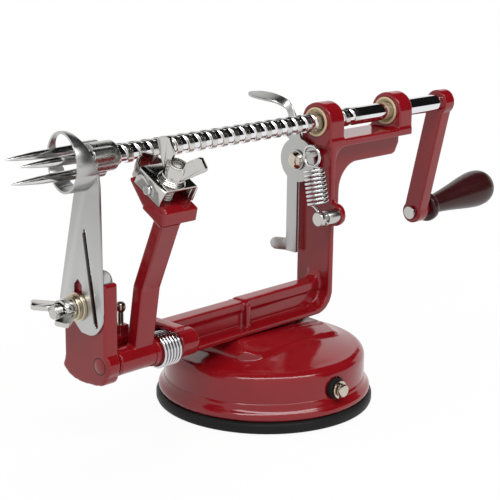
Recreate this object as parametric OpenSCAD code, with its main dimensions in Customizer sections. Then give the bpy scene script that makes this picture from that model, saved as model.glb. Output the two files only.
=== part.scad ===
// Hand-cranked apple peeler on a suction base, in millimetres.
// The shaft lies along X with the fork toward -X, Z is up and the table is Z = 0.

/* [Base] */
// Radius of the rubber ring on the table
ring_r = 55.2; // [45:0.1:70]
// Height of the rubber ring
ring_h = 6; // [4:0.1:12]
// Radial width of the rubber ring
ring_w = 8; // [5:0.1:14]
// Radius of the dome's side wall
wall_r = 51; // [40:0.1:60]
// Radius of the lip above the rubber
lip_r = 54; // [44:0.1:64]
// Height where the side wall ends
wall_top = 24; // [16:0.1:36]
// Rounding between wall and top
dome_round = 5; // [2:0.1:8]
// Rise of the top toward the middle
dome_rise = 6; // [1:0.1:8]
// Wall of the base casting
shell_t = 2.8; // [2:0.1:5]
// Front end of the raised pad under the frame
pad_front = -30; // [-40:0.5:-20]
// Rear end of the raised pad under the frame
pad_rear = 32; // [25:0.5:45]
// Half width of the raised pad
pad_hw = 13.5; // [8:0.1:18]
// How far the pad's sides slope out
pad_slope = 10; // [4:0.1:14]
// How far the pad's ends slope out
pad_run = 6; // [2:0.1:8]
// Corner radius of the pad's foot
pad_round = 12; // [6:0.1:16]

/* [Suction drive] */
// Height of the cam axle
axle_z = 18; // [14:0.1:24]
// Place of the cam axle along the frame
axle_x = -3; // [-6:0.5:6]
// Diameter of the cam axle
axle_d = 7.2; // [4:0.1:9]
// Wall of the axle's bush
axle_wall = 1.6; // [1:0.1:3]
// How far the axle stands out in front
axle_out = 5.6; // [5:0.1:9]
// Throw of the cam
cam_throw = 1.5; // [0.8:0.1:2]
// Diameter of the cam
cam_d = 13; // [11:0.1:15]
// Width of the cam along the axle
cam_w = 7; // [4:0.1:10]
// Length of the suction lever
suction_len = 44; // [30:0.5:60]
// Thickness of the suction lever
suction_t = 4; // [3:0.1:6]
// Gap between the rubber disc and the rubber ring
disc_gap = 3.2; // [2:0.1:10]
// Thickness of the rubber disc
disc_t = 2.4; // [1.5:0.1:4]
// Radius of the boss in the rubber disc
disc_boss = 12; // [8:0.1:16]
// Diameter of the stem in the rubber disc
stem_d = 8; // [6:0.1:10]
// Radius of the suction lever's boss
suction_boss = 8; // [6:0.1:10]
// Width of the suction lever
suction_w = 8.5; // [6:0.1:12]

/* [Frame] */
// Height of the shaft's axis
shaft_z = 138; // [120:0.5:160]
// Half width of the frame's flange
frame_hw = 11.3; // [9:0.1:16]
// Sideways place of the post's middle
post_y = 1.1; // [0:0.1:2]
// Underside of the beam
beam_z = 39.2; // [34:0.1:46]
// Thickness of the beam's flange
flange_t = 2.8; // [2:0.1:5]
// Top of the beam's rail
rail_top = 55; // [50:0.1:64]
// Depth of the beam's rail
rail_h = 4.4; // [3:0.1:8]
// Width of the beam's rail
rail_w = 8.4; // [6:0.1:12]
// Thickness of the webs
web_t = 7; // [4:0.1:9]
// Front face of the post
post_x = 37; // [30:0.5:44]
// Thickness of the post's flange
post_t = 3.6; // [2.5:0.1:7]
// Outer radius of the bend from beam to post
bend_r = 12; // [8:0.1:18]
// Rear end of the top arm
arm_end = 103; // [90:0.5:115]
// Distance from the shaft's axis down to the top arm's underside
arm_drop = 12.6; // [11:0.1:18]
// Thickness of the top arm
arm_t = 3.8; // [2.5:0.1:5]
// Depth of the web under the top arm
arm_web = 11; // [6:0.1:16]
// Radius of the web's inner corner
web_round = 14; // [8:0.1:20]
// Depth of the web behind the post
post_web = 11; // [6:0.1:16]
// How far the top arm reaches past its web
web_short = 2.5; // [0:0.1:6]
// Radius of the bearing lugs
lug_r = 9.9; // [9:0.1:14]
// Length of a bearing lug along the shaft
lug_len = 11; // [8:0.1:14]
// Front face of the front lug
lug_front = 36; // [30:0.5:42]
// Front face of the rear lug
lug_rear = 92; // [80:0.5:100]
// Front face of the end plate
end_x = -116.7; // [-130:0.1:-100]
// Thickness of the end plate
end_t = 7.7; // [5:0.1:10]
// Half width of the end plate
end_hw = 14.3; // [11:0.1:18]
// Top of the end plate
end_top = 84.5; // [76:0.1:95]
// Bottom of the end plate
end_low = 37; // [33:0.1:38]
// Radius of the end plate's lower corners
end_round = 5; // [3:0.1:9]

/* [Shaft] */
// Diameter of the shaft and over its thread
shaft_d = 9.5; // [8:0.1:12]
// Lead of the thread
lead = 7.4; // [5:0.1:9]
// Depth of the thread
thread_h = 0.9; // [0.7:0.05:1.4]
// Share of the lead that the thread's groove takes
groove = 0.5; // [0.35:0.01:0.6]
// Rear end of the thread
thread_rear = 66; // [50:0.5:80]
// Rear end of the shaft
shaft_end = 145.2; // [138:0.1:152]
// Wall of a bearing bush
bush_wall = 1.9; // [1:0.1:3]
// How far a bush stands out of its lug
bush_out = 0.8; // [0.4:0.1:2]

/* [Fork] */
// Diameter of the fork's hub
hub_d = 13.6; // [11:0.1:15]
// Front face of the hub
hub_front = -116; // [-122:0.5:-110]
// Rear face of the hub
hub_rear = -100; // [-106:0.5:-94]
// Front tips of the prongs
prong_tip = -153; // [-170:0.5:-140]
// Diameter of a prong at the hub
prong_d = 5; // [4:0.1:5.4]
// Diameter of a prong behind its point
prong_neck = 3.6; // [2.6:0.1:4]
// Length of a prong's point
prong_point = 14; // [8:0.1:24]
// Radius of the circle of prongs
prong_r = 6.1; // [4:0.1:6.2]
// Wall of the hub round a prong
lobe_t = 0.6; // [0.4:0.1:1.5]
// Length of the hub's three lobes
lobe_len = 12; // [9.5:0.1:14]
// Depth of a prong's hole in the hub
prong_in = 9; // [6:0.1:9.2]

/* [Crank] */
// Inner face of the crank
crank_x = 137; // [125:0.5:145]
// Thickness of the crank
crank_t = 8; // [5:0.1:12]
// Distance from the shaft to the knob
crank_len = 66.8; // [50:0.5:80]
// Lean of the crank from straight down
crank_lean = 12.3; // [0:0.5:30]
// Radius of the crank's upper boss
crank_boss = 7; // [6.5:0.1:12]
// Radius of the crank's lower boss
crank_foot = 6.3; // [6:0.1:10]
// Diameter of the knob's spindle
spindle_d = 5.4; // [4:0.1:7]
// Length of the knob
knob_len = 62; // [40:0.5:70]
// Greatest radius of the knob
knob_r = 10.9; // [8:0.1:14]
// Radius of the knob's collar
collar_r = 8.6; // [6:0.1:10]
// Upward tilt of the knob
knob_tilt = 4.5; // [0:0.5:6]
// Width of the crank's bar
crank_w = 11; // [8:0.1:12]

/* [Release lever] */
// Thickness of the lever's plate
lever_t = 1.6; // [1:0.1:2.5]
// Rear face of the lever's plate
lever_x = 34.6; // [33:0.1:35]
// Sideways place of the lever's rivet
lever_y = 9.9; // [7:0.1:11]
// Distance from the shaft's axis down to the lever's rivet
lever_drop = 20.7; // [18:0.1:28]
// Radius of the lever round its rivet
lever_r = 11.5; // [8:0.1:13]
// Width of the lever's leg
leg_w = 7; // [5:0.1:10]
// Bottom of the lever's leg
leg_low = 68; // [60:0.5:80]
// Length of the bent foot
foot_len = 10; // [8:0.5:22]
// Height of the bent foot
foot_h = 6.4; // [4:0.1:10]
// Distance from the shaft's axis up to the thumb tab
tab_up = 8.5; // [6:0.1:14]
// Length of the thumb tab
tab_len = 31; // [16:0.5:34]
// Width of the thumb tab
tab_w = 9.5; // [6:0.1:14]
// Upward slope of the thumb tab
tab_rise = 4; // [0:0.5:14]
// Forward roll of the thumb tab
tab_roll = 11; // [0:0.5:25]
// Diameter of the rivet's shank
rivet_d = 5; // [3:0.1:6]
// Diameter of the rivet's dome
rivet_head = 9.4; // [7:0.1:12]
// Height of the spring pin
pin_z = 91.3; // [86:0.1:96]
// Sideways place of the spring pin
pin_y = -13.6; // [-16:0.1:-12]
// Diameter of the spring pin
pin_d = 7.4; // [5:0.1:9]
// Length of the spring pin in front of the post
pin_len = 13.8; // [10:0.1:15]
// Width of the frame's ear for the spring pin
pin_boss = 12; // [8.5:0.1:13]
// Radius of the lever spring's coil
coil_r = 5; // [3:0.1:5]
// Wire radius of the lever spring
coil_wire = 0.75; // [0.5:0.05:0.9]
// Coils of the lever spring
coil_turns = 9; // [6:1:11]

/* [Slicer] */
// Thickness of the slicer's plate
slicer_t = 1.5; // [1:0.1:2.5]
// Outer radius of the corer ring
corer_r = 13.5; // [11.5:0.1:16]
// Wall of the corer ring
corer_t = 1.2; // [0.8:0.1:2]
// How far the corer ring stands out of the plate
corer_out = 8.7; // [4:0.1:16]
// Slant of the corer ring's front rim
corer_slant = 9.3; // [0:0.1:15]
// How far the top of the ring's rear edge stands in front of the plate
corer_back = 6.7; // [2:0.1:8]
// Sideways place of the slicer's bolt
bolt_y = 2; // [-2:0.1:5]
// Height of the slicer's bolt
bolt_z = 72; // [64:0.1:76]
// Diameter of the slicer's bolt
bolt_d = 6.6; // [4:0.1:8]
// Radius of the ball on the slicer bolt's head
bolt_r = 8; // [6:0.1:12]
// Height of the slicer bolt's head
bolt_dome = 4; // [2:0.1:5]
// Bottom of the slicer's plate
slicer_low = 60.5; // [50:0.5:62]
// Width of the slicer's plate at the bottom
slicer_w = 28.5; // [24:0.5:34]
// Width of the slicer's plate under the ring
slicer_neck = 17.4; // [12:0.5:24]
// Sideways place of the slicer's right edge
slicer_edge = -13.4; // [-16:0.1:-12]
// Size of the ear bent back over the end plate
ear_len = 6.6; // [4:0.1:9]
// Width of the slit in the slicer's plate
slit_w = 2; // [0.8:0.1:3]
// Width of the slot above the slicer's bolt
slot_w = 5.4; // [4:0.1:6]
// Height of the slot above the slicer's bolt
slot_up = 12.6; // [10:0.1:15]
// Thickness of the washers under the slicer's nut
washer_t = 4; // [2:0.1:6]
// Diameter of the washers under the slicer's nut
washer_d = 13.4; // [11:0.1:18]
// Length of thread that shows past a wing nut
nut_show = 4; // [1:0.1:8]
// Span of a wing nut's wings
wing_span = 27.4; // [22:0.1:34]
// Width of a wing
wing_w = 6.8; // [5:0.1:9]
// Slope of a wing
wing_lean = 53; // [40:0.5:70]
// Thickness of a wing
wing_t = 2.4; // [1.5:0.1:4]
// Diameter of a wing nut's hub
wing_hub = 10; // [9.4:0.1:14]
// Length of a wing nut's hub
wing_len = 6; // [5:0.1:10]
// Turn of the slicer's wing nut
slicer_turn = 12; // [0:1:45]

/* [Peeling arm] */
// Sideways place of the arm's pivot
pivot_y = -10.2; // [-13:0.1:-9.5]
// Height of the arm's pivot
pivot_z = 46.4; // [46.2:0.1:52]
// Diameter of the pivot pin
pivot_d = 8.2; // [6:0.1:9]
// Outer diameter of the arm's barrel
barrel_d = 12.6; // [11:0.1:13]
// Wall of the end plate's boss round the pivot pin
pivot_wall = 2.2; // [1.5:0.1:4]
// Gap between the end plate and the arm
arm_in = 10; // [8:0.1:14]
// Width of the arm along the shaft
arm_w = 11; // [9:0.1:14]
// Thickness of the arm
peel_t = 6.2; // [4:0.1:8]
// Height of the arm's knee
knee_z = 80; // [70:0.5:90]
// Sideways place of the arm's knee
knee_y = -15.8; // [-20:0.1:-13]
// Height of the arm's elbow
elbow_z = 116.6; // [104:0.5:120]
// Sideways place of the arm's elbow
elbow_y = -31.5; // [-36:0.1:-28]
// Slope of the arm's head
head_slope = 29; // [20:0.5:38]
// Length of the arm's head
head_len = 23.5; // [18:0.5:32]
// Width of the arm's head along the shaft
head_w = 19; // [14:0.5:24]
// Thickness of the arm's head at its root
head_t = 6.8; // [4:0.1:8]
// Thickness of the arm's head at its edge
head_edge = 1.4; // [1:0.1:3]
// Length of the head's thick part
head_heel = 10.6; // [6:0.1:14]
// Wall of the blade clamp
clamp_t = 1.4; // [1:0.1:2.5]
// Height of the blade clamp's sides
clamp_h = 8.4; // [5:0.1:10]
// Length of the blade clamp
clamp_len = 18; // [14:0.5:21]
// Place of the clamp along the head
clamp_y = 2; // [0:0.1:3]
// Radius of the clamp's upper corners
clamp_round = 2.2; // [1.8:0.1:4]
// Place of the clamp's bolt along the head
clamp_bolt_y = 8; // [6:0.1:14]
// Place of the clamp's bolt across the head
clamp_bolt_x = -1.5; // [-3:0.1:3]
// Diameter of the clamp's bolt
clamp_bolt_d = 6.6; // [4:0.1:7]
// Width of the clamp bolt's head
clamp_bolt_head = 10; // [8:0.1:12]
// Length of thread that shows under the clamp's nut
nut_up = 2.9; // [0.2:0.1:6]
// Turn of the clamp's wing nut
nut_turn = 17.6; // [0:0.2:90]
// Height of the peeling blade's cutting strip
blade_h = 8; // [6:0.1:10]
// Top of the cutting strip at its front
blade_top = 14; // [10:0.1:15]
// Fall of the cutting strip along the shaft
blade_fall = 6.5; // [0:0.1:8]
// Thickness of the peeling blade
blade_t = 1.1; // [0.8:0.1:2]
// Radius of the arm spring's coil
twist_r = 7.9; // [6.6:0.1:9.4]
// Diameter of the stop screw
stop_d = 3; // [2:0.1:4]
// Diameter of the stop screw's head
stop_head = 5; // [4.4:0.1:6]
// Wire radius of the arm spring
twist_wire = 0.7; // [0.6:0.05:1.1]
// Coils of the arm spring
twist_turns = 6; // [4:1:8]
// Gap between the arm and its spring
twist_in = 3.5; // [3:0.1:6]
// Length of the arm spring
twist_len = 11; // [10.8:0.1:18]

/* [Fits] */
// Gap of a turning or sliding pair, on the radius
run = 0.1; // [0.05:0.01:0.3]
// Gap of a seated pair
seat = 0.05; // [0.02:0.01:0.2]
// Gap between pieces that pass each other
clear = 0.5; // [0.4:0.05:1]

/* [Hidden] */
$fn = 64;
eps = 0.01;
shaft_r = shaft_d / 2;
disc_r = ring_r - ring_w - disc_gap;
arm_z = shaft_z - arm_drop;
lever_z = shaft_z - lever_drop;
tab_z = shaft_z + tab_up;
arm_x = end_x + end_t + arm_in;
twist_x = arm_x + arm_w + twist_in;
twist_end = twist_x + twist_len;
head_top = 2;
axle_r = axle_d / 2;
core_r = shaft_r - thread_h;
bush_r = shaft_r + run + bush_wall;
head_mid = arm_x + head_w / 2;
head_dir = [0, cos(head_slope), sin(head_slope)];
crank_y = crank_len * sin(crank_lean);
crank_z = shaft_z - crank_len * cos(crank_lean);
thread_front = hub_rear + clear;
stub_len = 6;
stub_d = 2 * core_r - 0.6;
lobe_r = prong_d / 2 + lobe_t;
fork_r = prong_r + lobe_r;
blade_tip = (shaft_z - elbow_z) * sin(head_slope) - elbow_y * cos(head_slope) - fork_r - clear;
slicer_x = end_x - seat - slicer_t;
pad_top = beam_z - seat;
clamp_low = head_top + 0.2;
clamp_w = head_w + 1.2;
rivet_y = clamp_y + clamp_len / 2;
blade_in = clamp_low + clamp_h - clamp_t - clear - head_top - seat;
corer_front = slicer_x - corer_out;
nut_base = slicer_x - seat - washer_t - seat;
blade_front = max(head_len, clamp_y + clamp_len) + clear;
dome_top = wall_top + dome_round + dome_rise;
stem_low = 0.8;
screw_front = -22;
screw_rear = 28;
screw_d = 4;
screw_in = 11.5;
screw_head = 7.6;
screw_head_h = 3;
cap_r = (pow(wall_r - dome_round, 2) + dome_rise * dome_rise) / (2 * dome_rise);
pawl_x = lever_x - lever_t / 2;
mould = "#a01c24";
steel = "#c9cacb";
chrome = "#d9dadc";
black = "#1d1c1c";

// An outline in X and Z given a width across Y.
module across(w, y = 0) {
    translate([0, y, 0]) rotate([90, 0, 0]) linear_extrude(w, center = true) children();
}

// An outline in Y and Z drawn out along X.
module along(x, span) {
    translate([x, 0, 0]) rotate([90, 0, 90]) linear_extrude(span) children();
}

// A round bar along X.
module bar_x(x, span, d, y = 0, z = 0) {
    translate([x, y, z]) rotate([0, 90, 0]) cylinder(h = span, d = d);
}

// A round bar along Y.
module bar_y(y, span, d, x = 0, z = 0) {
    translate([x, y, z]) rotate([-90, 0, 0]) cylinder(h = span, d = d);
}

// A rectangle with round corners, placed by its lower left corner.
module soft_box(size, r) {
    translate([r, 0]) square([size[0] - 2 * r, size[1]]);
    translate([0, r]) square([size[0], size[1] - 2 * r]);
    for (x = [r, size[0] - r], y = [r, size[1] - r]) translate([x, y]) circle(r);
}

// A straight strip between two points of an outline, with round ends.
module strip(a, b, w) {
    d = b - a;
    translate(a) rotate(atan2(d[1], d[0])) translate([0, -w / 2]) square([norm(d), w]);
    for (end = [a, b]) translate(end) circle(d = w + 2 * eps);
}

// A wing nut standing on the XY plane with its two sloping wings along Y.
module wing_nut(bore) {
    reach = (wing_span / 2 - wing_w / 2 * sin(wing_lean)) / cos(wing_lean);
    root = 4;
    difference() {
        union() {
            cylinder(h = wing_len, d = wing_hub);
            for (s = [0, 1]) mirror([0, s, 0]) translate([-wing_t / 2, 0, -0.8]) rotate([90, 0, 90])
                linear_extrude(wing_t) rotate(wing_lean) translate([root,
                    -wing_w / 2]) soft_box([reach - root, wing_w], 1.8);
        }
        translate([0, 0, -eps]) cylinder(h = wing_len + 8, d = bore);
    }
}

function unit(v) = v / norm(v);
function heading(p, i) = unit(p[min(i + 1, len(p) - 1)] - p[max(i - 1, 0)]);
function carried(n, t) = unit(n - (n * t) * t);
function normals(p, i, n) = i >= len(p) ? [] :
    let (m = carried(n, heading(p, i))) concat([m], normals(p, i + 1, m));
function least_gap(p, skip,
    d) = min([for (i = [0 : len(p) - 1 - skip]) min([for (j = [i + skip : len(p) - 1])
    norm(p[i] - p[j])])]) - d;

// A wire of six sides swept along a list of points.
module wire(p, r, first, sides = 6) {
    n = normals(p, 0, first);
    last = (len(p) - 1) * sides;
    points = [for (i = [0 : len(p) - 1]) let (t = heading(p, i), v = cross(t,
        n[i])) for (k = [0 : sides - 1])
        p[i] + r * (cos(360 * k / sides) * n[i] + sin(360 * k / sides) * v)];
    walls = [for (i = [0 : len(p) - 2]) for (k = [0 : sides - 1]) let (a = i * sides + k,
        b = i * sides + (k + 1) % sides)
        for (f = [[a, b + sides, b], [a, a + sides, b + sides]]) f];
    caps = [for (k = [1 : sides - 2]) for (f = [[0, k, k + 1], [last, last + k + 1, last + k]]) f];
    polyhedron(points = points, faces = concat(walls, caps), convexity = 10);
}

// The dome's outline as radius and height, set in by a wall.
module dome_outline(inset, low) {
    r = wall_r - inset;
    round_r = max(dome_round - inset, 0.5);
    a = wall_r - dome_round;
    cap = (a * a + dome_rise * dome_rise) / (2 * dome_rise);
    translate([0, low]) square([r, wall_top - low]);
    translate([0, wall_top - eps]) square([r - round_r, round_r + eps]);
    intersection() {
        translate([r - round_r, wall_top]) circle(round_r);
        translate([0, wall_top - eps]) square([r, round_r + 1]);
    }
    intersection() {
        translate([0, wall_top + round_r - eps]) square([r - round_r, dome_rise + 1]);
        translate([0, dome_top - inset - cap]) circle(cap, $fn = 360);
    }
}

// Rubber ring that the base stands on, with a step under the casting's edge.
module rubber_ring() {
    color(black) rotate_extrude($fn = 128) translate([ring_r - ring_w, 0]) {
        translate([0, 1]) square([ring_w, ring_h - 2]);
        translate([1, 0]) square([ring_w - 2, ring_h]);
        for (x = [1, ring_w - 1], y = [1, ring_h - 1]) translate([x, y]) circle(1);
    }
}

// Rubber disc that the stem pulls up to make the suction.
module rubber_disc() {
    color(black) difference() {
        union() {
            cylinder(h = disc_t, r = disc_r, $fn = 128);
            translate([axle_x, 0, 0]) cylinder(h = disc_t + 2, r = disc_boss);
        }
        translate([axle_x, 0, stem_low]) cylinder(h = disc_t + 3, d = stem_d + 2 * seat);
    }
}

// Stem with a window round the cam, moulded into the rubber disc.
module pull_stem() {
    play = clear + 0.4;
    half_x = cam_d / 2 + cam_throw + play;
    half_z = cam_d / 2 + play;
    wall = 2.2;
    color(steel) {
        translate([axle_x, 0, stem_low + seat]) cylinder(h = axle_z - half_z - stem_low - wall / 2,
            d = stem_d);
        across(5) difference() {
            translate([axle_x - half_x - wall, axle_z - half_z - wall]) soft_box([2 * (half_x + wall),
                2 * (half_z + wall)], 3);
            translate([axle_x - half_x, axle_z - half_z]) soft_box([2 * half_x, 2 * half_z], 2);
        }
    }
}

// Cast dome with its lip, the raised pad for the frame, and the holes for the axle and screws.
module base_shell() {
    low = ring_h + seat;
    color(mould) difference() {
        union() {
            rotate_extrude($fn = 128) {
                dome_outline(0, low);
                polygon([[0, low], [lip_r - 0.6, low], [lip_r, low + 0.6], [lip_r, low + 1.8],
                    [wall_r + 0.7, low + 4.4],
                         [wall_r, low + 7], [0, low + 7]]);
            }
            intersection() {
                across(2 * pad_hw + 2 * pad_slope + 2) polygon([[pad_front - pad_run, wall_top],
                    [pad_front - pad_run, dome_top - 1.5],
                    [pad_front, pad_top], [pad_rear, pad_top], [pad_rear + pad_run, dome_top - 1.5],
                        [pad_rear + pad_run, wall_top]]);
                along(pad_front - pad_run - 1,
                    pad_rear - pad_front + 2 * pad_run + 2) polygon([[-pad_hw - pad_slope, wall_top],
                    [-pad_hw - pad_slope, dome_top - 1.5], [-pad_hw, pad_top], [pad_hw, pad_top],
                    [pad_hw + pad_slope, dome_top - 1.5], [pad_hw + pad_slope, wall_top]]);
                translate([pad_front - pad_run, -pad_hw - pad_slope, wall_top + 1]) linear_extrude(pad_top)
                    soft_box([pad_rear - pad_front + 2 * pad_run, 2 * (pad_hw + pad_slope)], pad_round);
            }
        }
        translate([0, 0, -eps]) rotate_extrude($fn = 128) dome_outline(shell_t, low - 1);
        bar_y(-ring_r, 2 * ring_r, axle_d + 2 * run, axle_x, axle_z);
        bar_y(-wall_r - 1, 4, axle_d + 2 * axle_wall, axle_x, axle_z);
        for (x = [screw_front, screw_rear]) translate([x, 0, wall_top]) cylinder(h = pad_top,
            d = screw_d + 2 * seat);
    }
}

// Axle with the cam in its middle and a groove near its front end.
module cam_axle() {
    front = -wall_r - axle_out;
    groove = front + 2.4;
    color(chrome) {
        difference() {
            bar_y(front, wall_r * 2 + axle_out + suction_t + 3, axle_d, axle_x, axle_z);
            difference() {
                bar_y(groove, 1.4, axle_d + 1, axle_x, axle_z);
                bar_y(groove - eps, 1.4 + 2 * eps, axle_d - 1.8, axle_x, axle_z);
            }
        }
        bar_y(-cam_w / 2, cam_w, cam_d, axle_x + cam_throw, axle_z);
    }
}

// Black bush where the axle leaves the base.
module axle_bush() {
    color(black) difference() {
        bar_y(-wall_r - 1.5, 3.9, axle_d + 2 * axle_wall - 2 * seat, axle_x, axle_z);
        bar_y(-wall_r - 3, 6, axle_d + 2 * run, axle_x, axle_z);
    }
}

// Spring ring in the axle's groove.
module axle_clip() {
    groove = -wall_r - axle_out + 2.4;
    color(steel) difference() {
        bar_y(groove + 0.25, 0.9, axle_d + 1.6, axle_x, axle_z);
        bar_y(groove - 1, 4, axle_d - 1.8 + 2 * seat, axle_x, axle_z);
        translate([axle_x - 0.9, groove - 1, axle_z - axle_d]) cube([1.8, 4, axle_d]);
    }
}

// Flat lever on the far end of the axle.
module suction_lever() {
    y = wall_r + 2.2;
    tip = [axle_x + suction_len * cos(-14), axle_z + suction_len * sin(-14)];
    color(mould) difference() {
        across(suction_t, y + suction_t / 2) {
            translate([axle_x, axle_z]) circle(suction_boss);
            strip([axle_x, axle_z], tip, suction_w);
        }
        bar_y(y - 1, suction_t + 2, axle_d + 2 * seat, axle_x, axle_z);
    }
}

// The frame's flange seen from the side: beam, bend and post.
module band_outline(front) {
    back = post_x + post_t;
    bend = [back - bend_r, beam_z + bend_r];
    translate([front, beam_z]) square([bend[0] - front, flange_t]);
    translate([post_x, bend[1]]) square([post_t, arm_z + arm_t - bend[1]]);
    intersection() {
        translate(bend) difference() {
            circle(bend_r);
            circle(bend_r - post_t);
        }
        translate([bend[0], beam_z]) square(bend_r);
    }
}

// The web between the beam's flange and its rail, with a curve up into the post.
module beam_web_outline() {
    front = end_x + end_t - eps;
    translate([front, beam_z + flange_t - eps]) square([post_x - front + eps,
        rail_top - beam_z - flange_t]);
    difference() {
        translate([post_x - 8, rail_top - eps]) square([8 + eps, 8]);
        translate([post_x - 8, rail_top + 8]) circle(8);
    }
}

// The web behind the post and under the top arm.
module back_web_outline() {
    back = post_x + post_t;
    edge = back + post_web;
    low = arm_z - arm_web;
    polygon([[back - 1, beam_z + 22], [edge, low - 26], [edge, arm_z + 1], [back - 1, arm_z + 1]]);
    end = arm_end - web_short;
    translate([edge - eps, low]) square([end - 5 - edge, arm_web + 1]);
    polygon([[end - 6, low], [end - 3, low + 0.8], [end, low + 6], [end, arm_z + 1], [end - 6, arm_z + 1]]);
    difference() {
        translate([edge - eps, low - web_round]) square(web_round + eps);
        translate([edge + web_round, low - web_round]) circle(web_round);
    }
}

// A bearing lug seen along the shaft.
module lug_outline() {
    translate([0, shaft_z]) circle(lug_r);
    translate([-lug_r, arm_z + eps]) square([2 * lug_r, shaft_z - arm_z]);
}

// Cast frame: end plate, beam, post and top arm with two bearing lugs.
module frame() {
    spring_cut = 2 * (twist_r + twist_wire + clear);
    boss_x = twist_end + twist_wire + clear;
    tab_low = pivot_z + spring_cut / 2 + 0.3;
    color(mould) difference() {
        union() {
            across(2 * frame_hw, post_y) band_outline(boss_x + 2);
            translate([end_x + end_t - eps, 0, beam_z]) cube([boss_x + 3 - end_x - end_t, frame_hw,
                flange_t]);
            across(web_t) beam_web_outline();
            across(rail_w) translate([end_x + end_t - eps, rail_top - rail_h])
                square([post_x - end_x - end_t + 2 * eps, rail_h]);
            across(rail_w) translate([screw_front + 3, rail_top - eps]) square([post_x - 6 - screw_front,
                0.8]);
            across(2 * web_t) translate([screw_front + 2, beam_z + eps]) square([3, rail_top - beam_z - 1]);
            across(web_t) back_web_outline();
            across(2 * frame_hw - 1, post_y / 2) translate([post_x, arm_z]) square([arm_end - post_x,
                arm_t]);
            for (x = [lug_front, lug_rear]) along(x, lug_len) lug_outline();
            along(post_x, post_t) strip([-frame_hw + 4, pin_z], [pin_y + 1.6, pin_z], pin_boss);
            along(end_x, end_t) {
                translate([-end_hw, end_low]) soft_box([2 * end_hw, end_top - end_low - end_round],
                    end_round);
                translate([-end_hw, end_low + 12]) soft_box([2 * end_hw, end_top - end_low - 12], 1.5);
            }
            bar_x(boss_x, 11, 13.4, pivot_y, pivot_z);
            bar_x(end_x + 0.4, end_t - 0.8, pivot_d + 2 * pivot_wall, pivot_y, pivot_z);
            translate([boss_x, pivot_y, beam_z]) cube([11, -pivot_y, pivot_z - beam_z]);
            translate([twist_end - 6.5, -20, tab_low]) cube([6, 20 + rail_w / 2, 2.6]);
            translate([twist_end - 6.5, 0.4 - rail_w / 2, rail_top - 2]) cube([6, rail_w - 0.8,
                tab_low - rail_top + 2.5]);
            translate([arm_x + 0.5, -3, rail_top - 1]) cube([6, 6, 5.5]);
        }
        for (x = [lug_front, lug_rear]) bar_x(x - 1, lug_len + 2, 2 * (bush_r + seat), 0, shaft_z);
        bar_x(lug_front - 1, lug_rear + lug_len - lug_front + 2, shaft_d + 2 * clear, 0, shaft_z);
        bar_x(end_x + end_t / 2, boss_x - end_x + 9, pivot_d + 2 * seat, pivot_y, pivot_z);
        bar_x(end_x + end_t, twist_x - 2 - end_x - end_t, barrel_d + 2 * clear, pivot_y, pivot_z);
        bar_x(twist_x - 2.2, boss_x - twist_x + 2.2, spring_cut, pivot_y, pivot_z);
        bar_x(end_x - 1, end_t + 2, bolt_d + 2 * seat, bolt_y, bolt_z);
        bar_x(post_x - 2, post_t + 4, pin_d - 2 + 2 * seat, pin_y, pin_z);
        bar_x(post_x - 2, post_t + 4, rivet_d + 2 * seat, lever_y, lever_z);
        for (x = [screw_front, screw_rear]) translate([x, 0, beam_z - 1]) cylinder(h = screw_in + 1.5,
            d = screw_d + 2 * seat);
        translate([arm_x + 3.5, 0, rail_top]) cylinder(h = 20, d = stop_d + 2 * seat);
    }
}

// Height of the base's ceiling at a radius.
function ceiling(r) = dome_top - shell_t - cap_r + sqrt(cap_r * cap_r - r * r);

// Two screws from inside the base up into the beam.
module frame_screws() {
    color(steel) for (x = [screw_front, screw_rear]) {
        low = ceiling(abs(x) + screw_head / 2) - seat - screw_head_h;
        translate([x, 0, low]) cylinder(h = beam_z + screw_in - low, d = screw_d);
        translate([x, 0, low]) cylinder(h = screw_head_h, d = screw_head);
    }
}

// One bearing bush with a thin flange.
module bush(x) {
    color("#cdb98c") difference() {
        union() {
            bar_x(x - bush_out, lug_len + 2 * bush_out, 2 * bush_r, 0, shaft_z);
            bar_x(x - bush_out, bush_out - seat, 2 * bush_r + 1.4, 0, shaft_z);
        }
        bar_x(x - 3, lug_len + 6, shaft_d + 2 * run, 0, shaft_z);
    }
}

// Bush in the front lug.
module front_bush() {
    bush(lug_front);
}

// Bush in the rear lug.
module rear_bush() {
    bush(lug_rear);
}

// Depth of the groove at a share of the lead from its middle, with sloping flanks.
function groove_cut(u) = thread_h * max(0, min(1, (groove / 2 + 0.06 - abs(u)) / 0.12));

// Radius of the thread at an angle round the shaft and a place along it.
function thread_r(a, x) = let (t = (x - pawl_x) / lead - (a - 90) / 360,
    u = t - round(t)) shaft_r - 2 * eps - groove_cut(u);

// Shaft with its coarse thread, plain behind.
module lead_screw() {
    sides = 20;
    rings = round((thread_rear - thread_front) / lead * 8);
    step = (thread_rear - thread_front) / rings;
    points = [for (i = [0 : rings]) let (x = thread_front + i * step) for (k = [0 : sides - 1])
        let (a = 360 * k / sides, r = thread_r(a, x)) [x, r * sin(a), shaft_z - r * cos(a)]];
    last = rings * sides;
    walls = [for (i = [0 : rings - 1]) for (k = [0 : sides - 1]) let (a = i * sides + k,
        b = i * sides + (k + 1) % sides)
        for (f = [[a, b + sides, b], [a, a + sides, b + sides]]) f];
    caps = [for (k = [1 : sides - 2]) for (f = [[0, k, k + 1], [last, last + k + 1, last + k]]) f];
    color(chrome) {
        polyhedron(points = points, faces = concat(walls, caps), convexity = 10);
        bar_x(thread_rear - 0.5, crank_x + 0.2 - thread_rear, shaft_d, 0, shaft_z);
        bar_x(crank_x - 2, shaft_end - crank_x + 2, shaft_d - 2, 0, shaft_z);
        bar_x(hub_rear - stub_len, stub_len + clear + 1, stub_d, 0, shaft_z);
    }
}

// Place of a prong round the shaft.
function prong_place(k) = prong_r * [cos(120 * k + 38), sin(120 * k + 38)];

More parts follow.
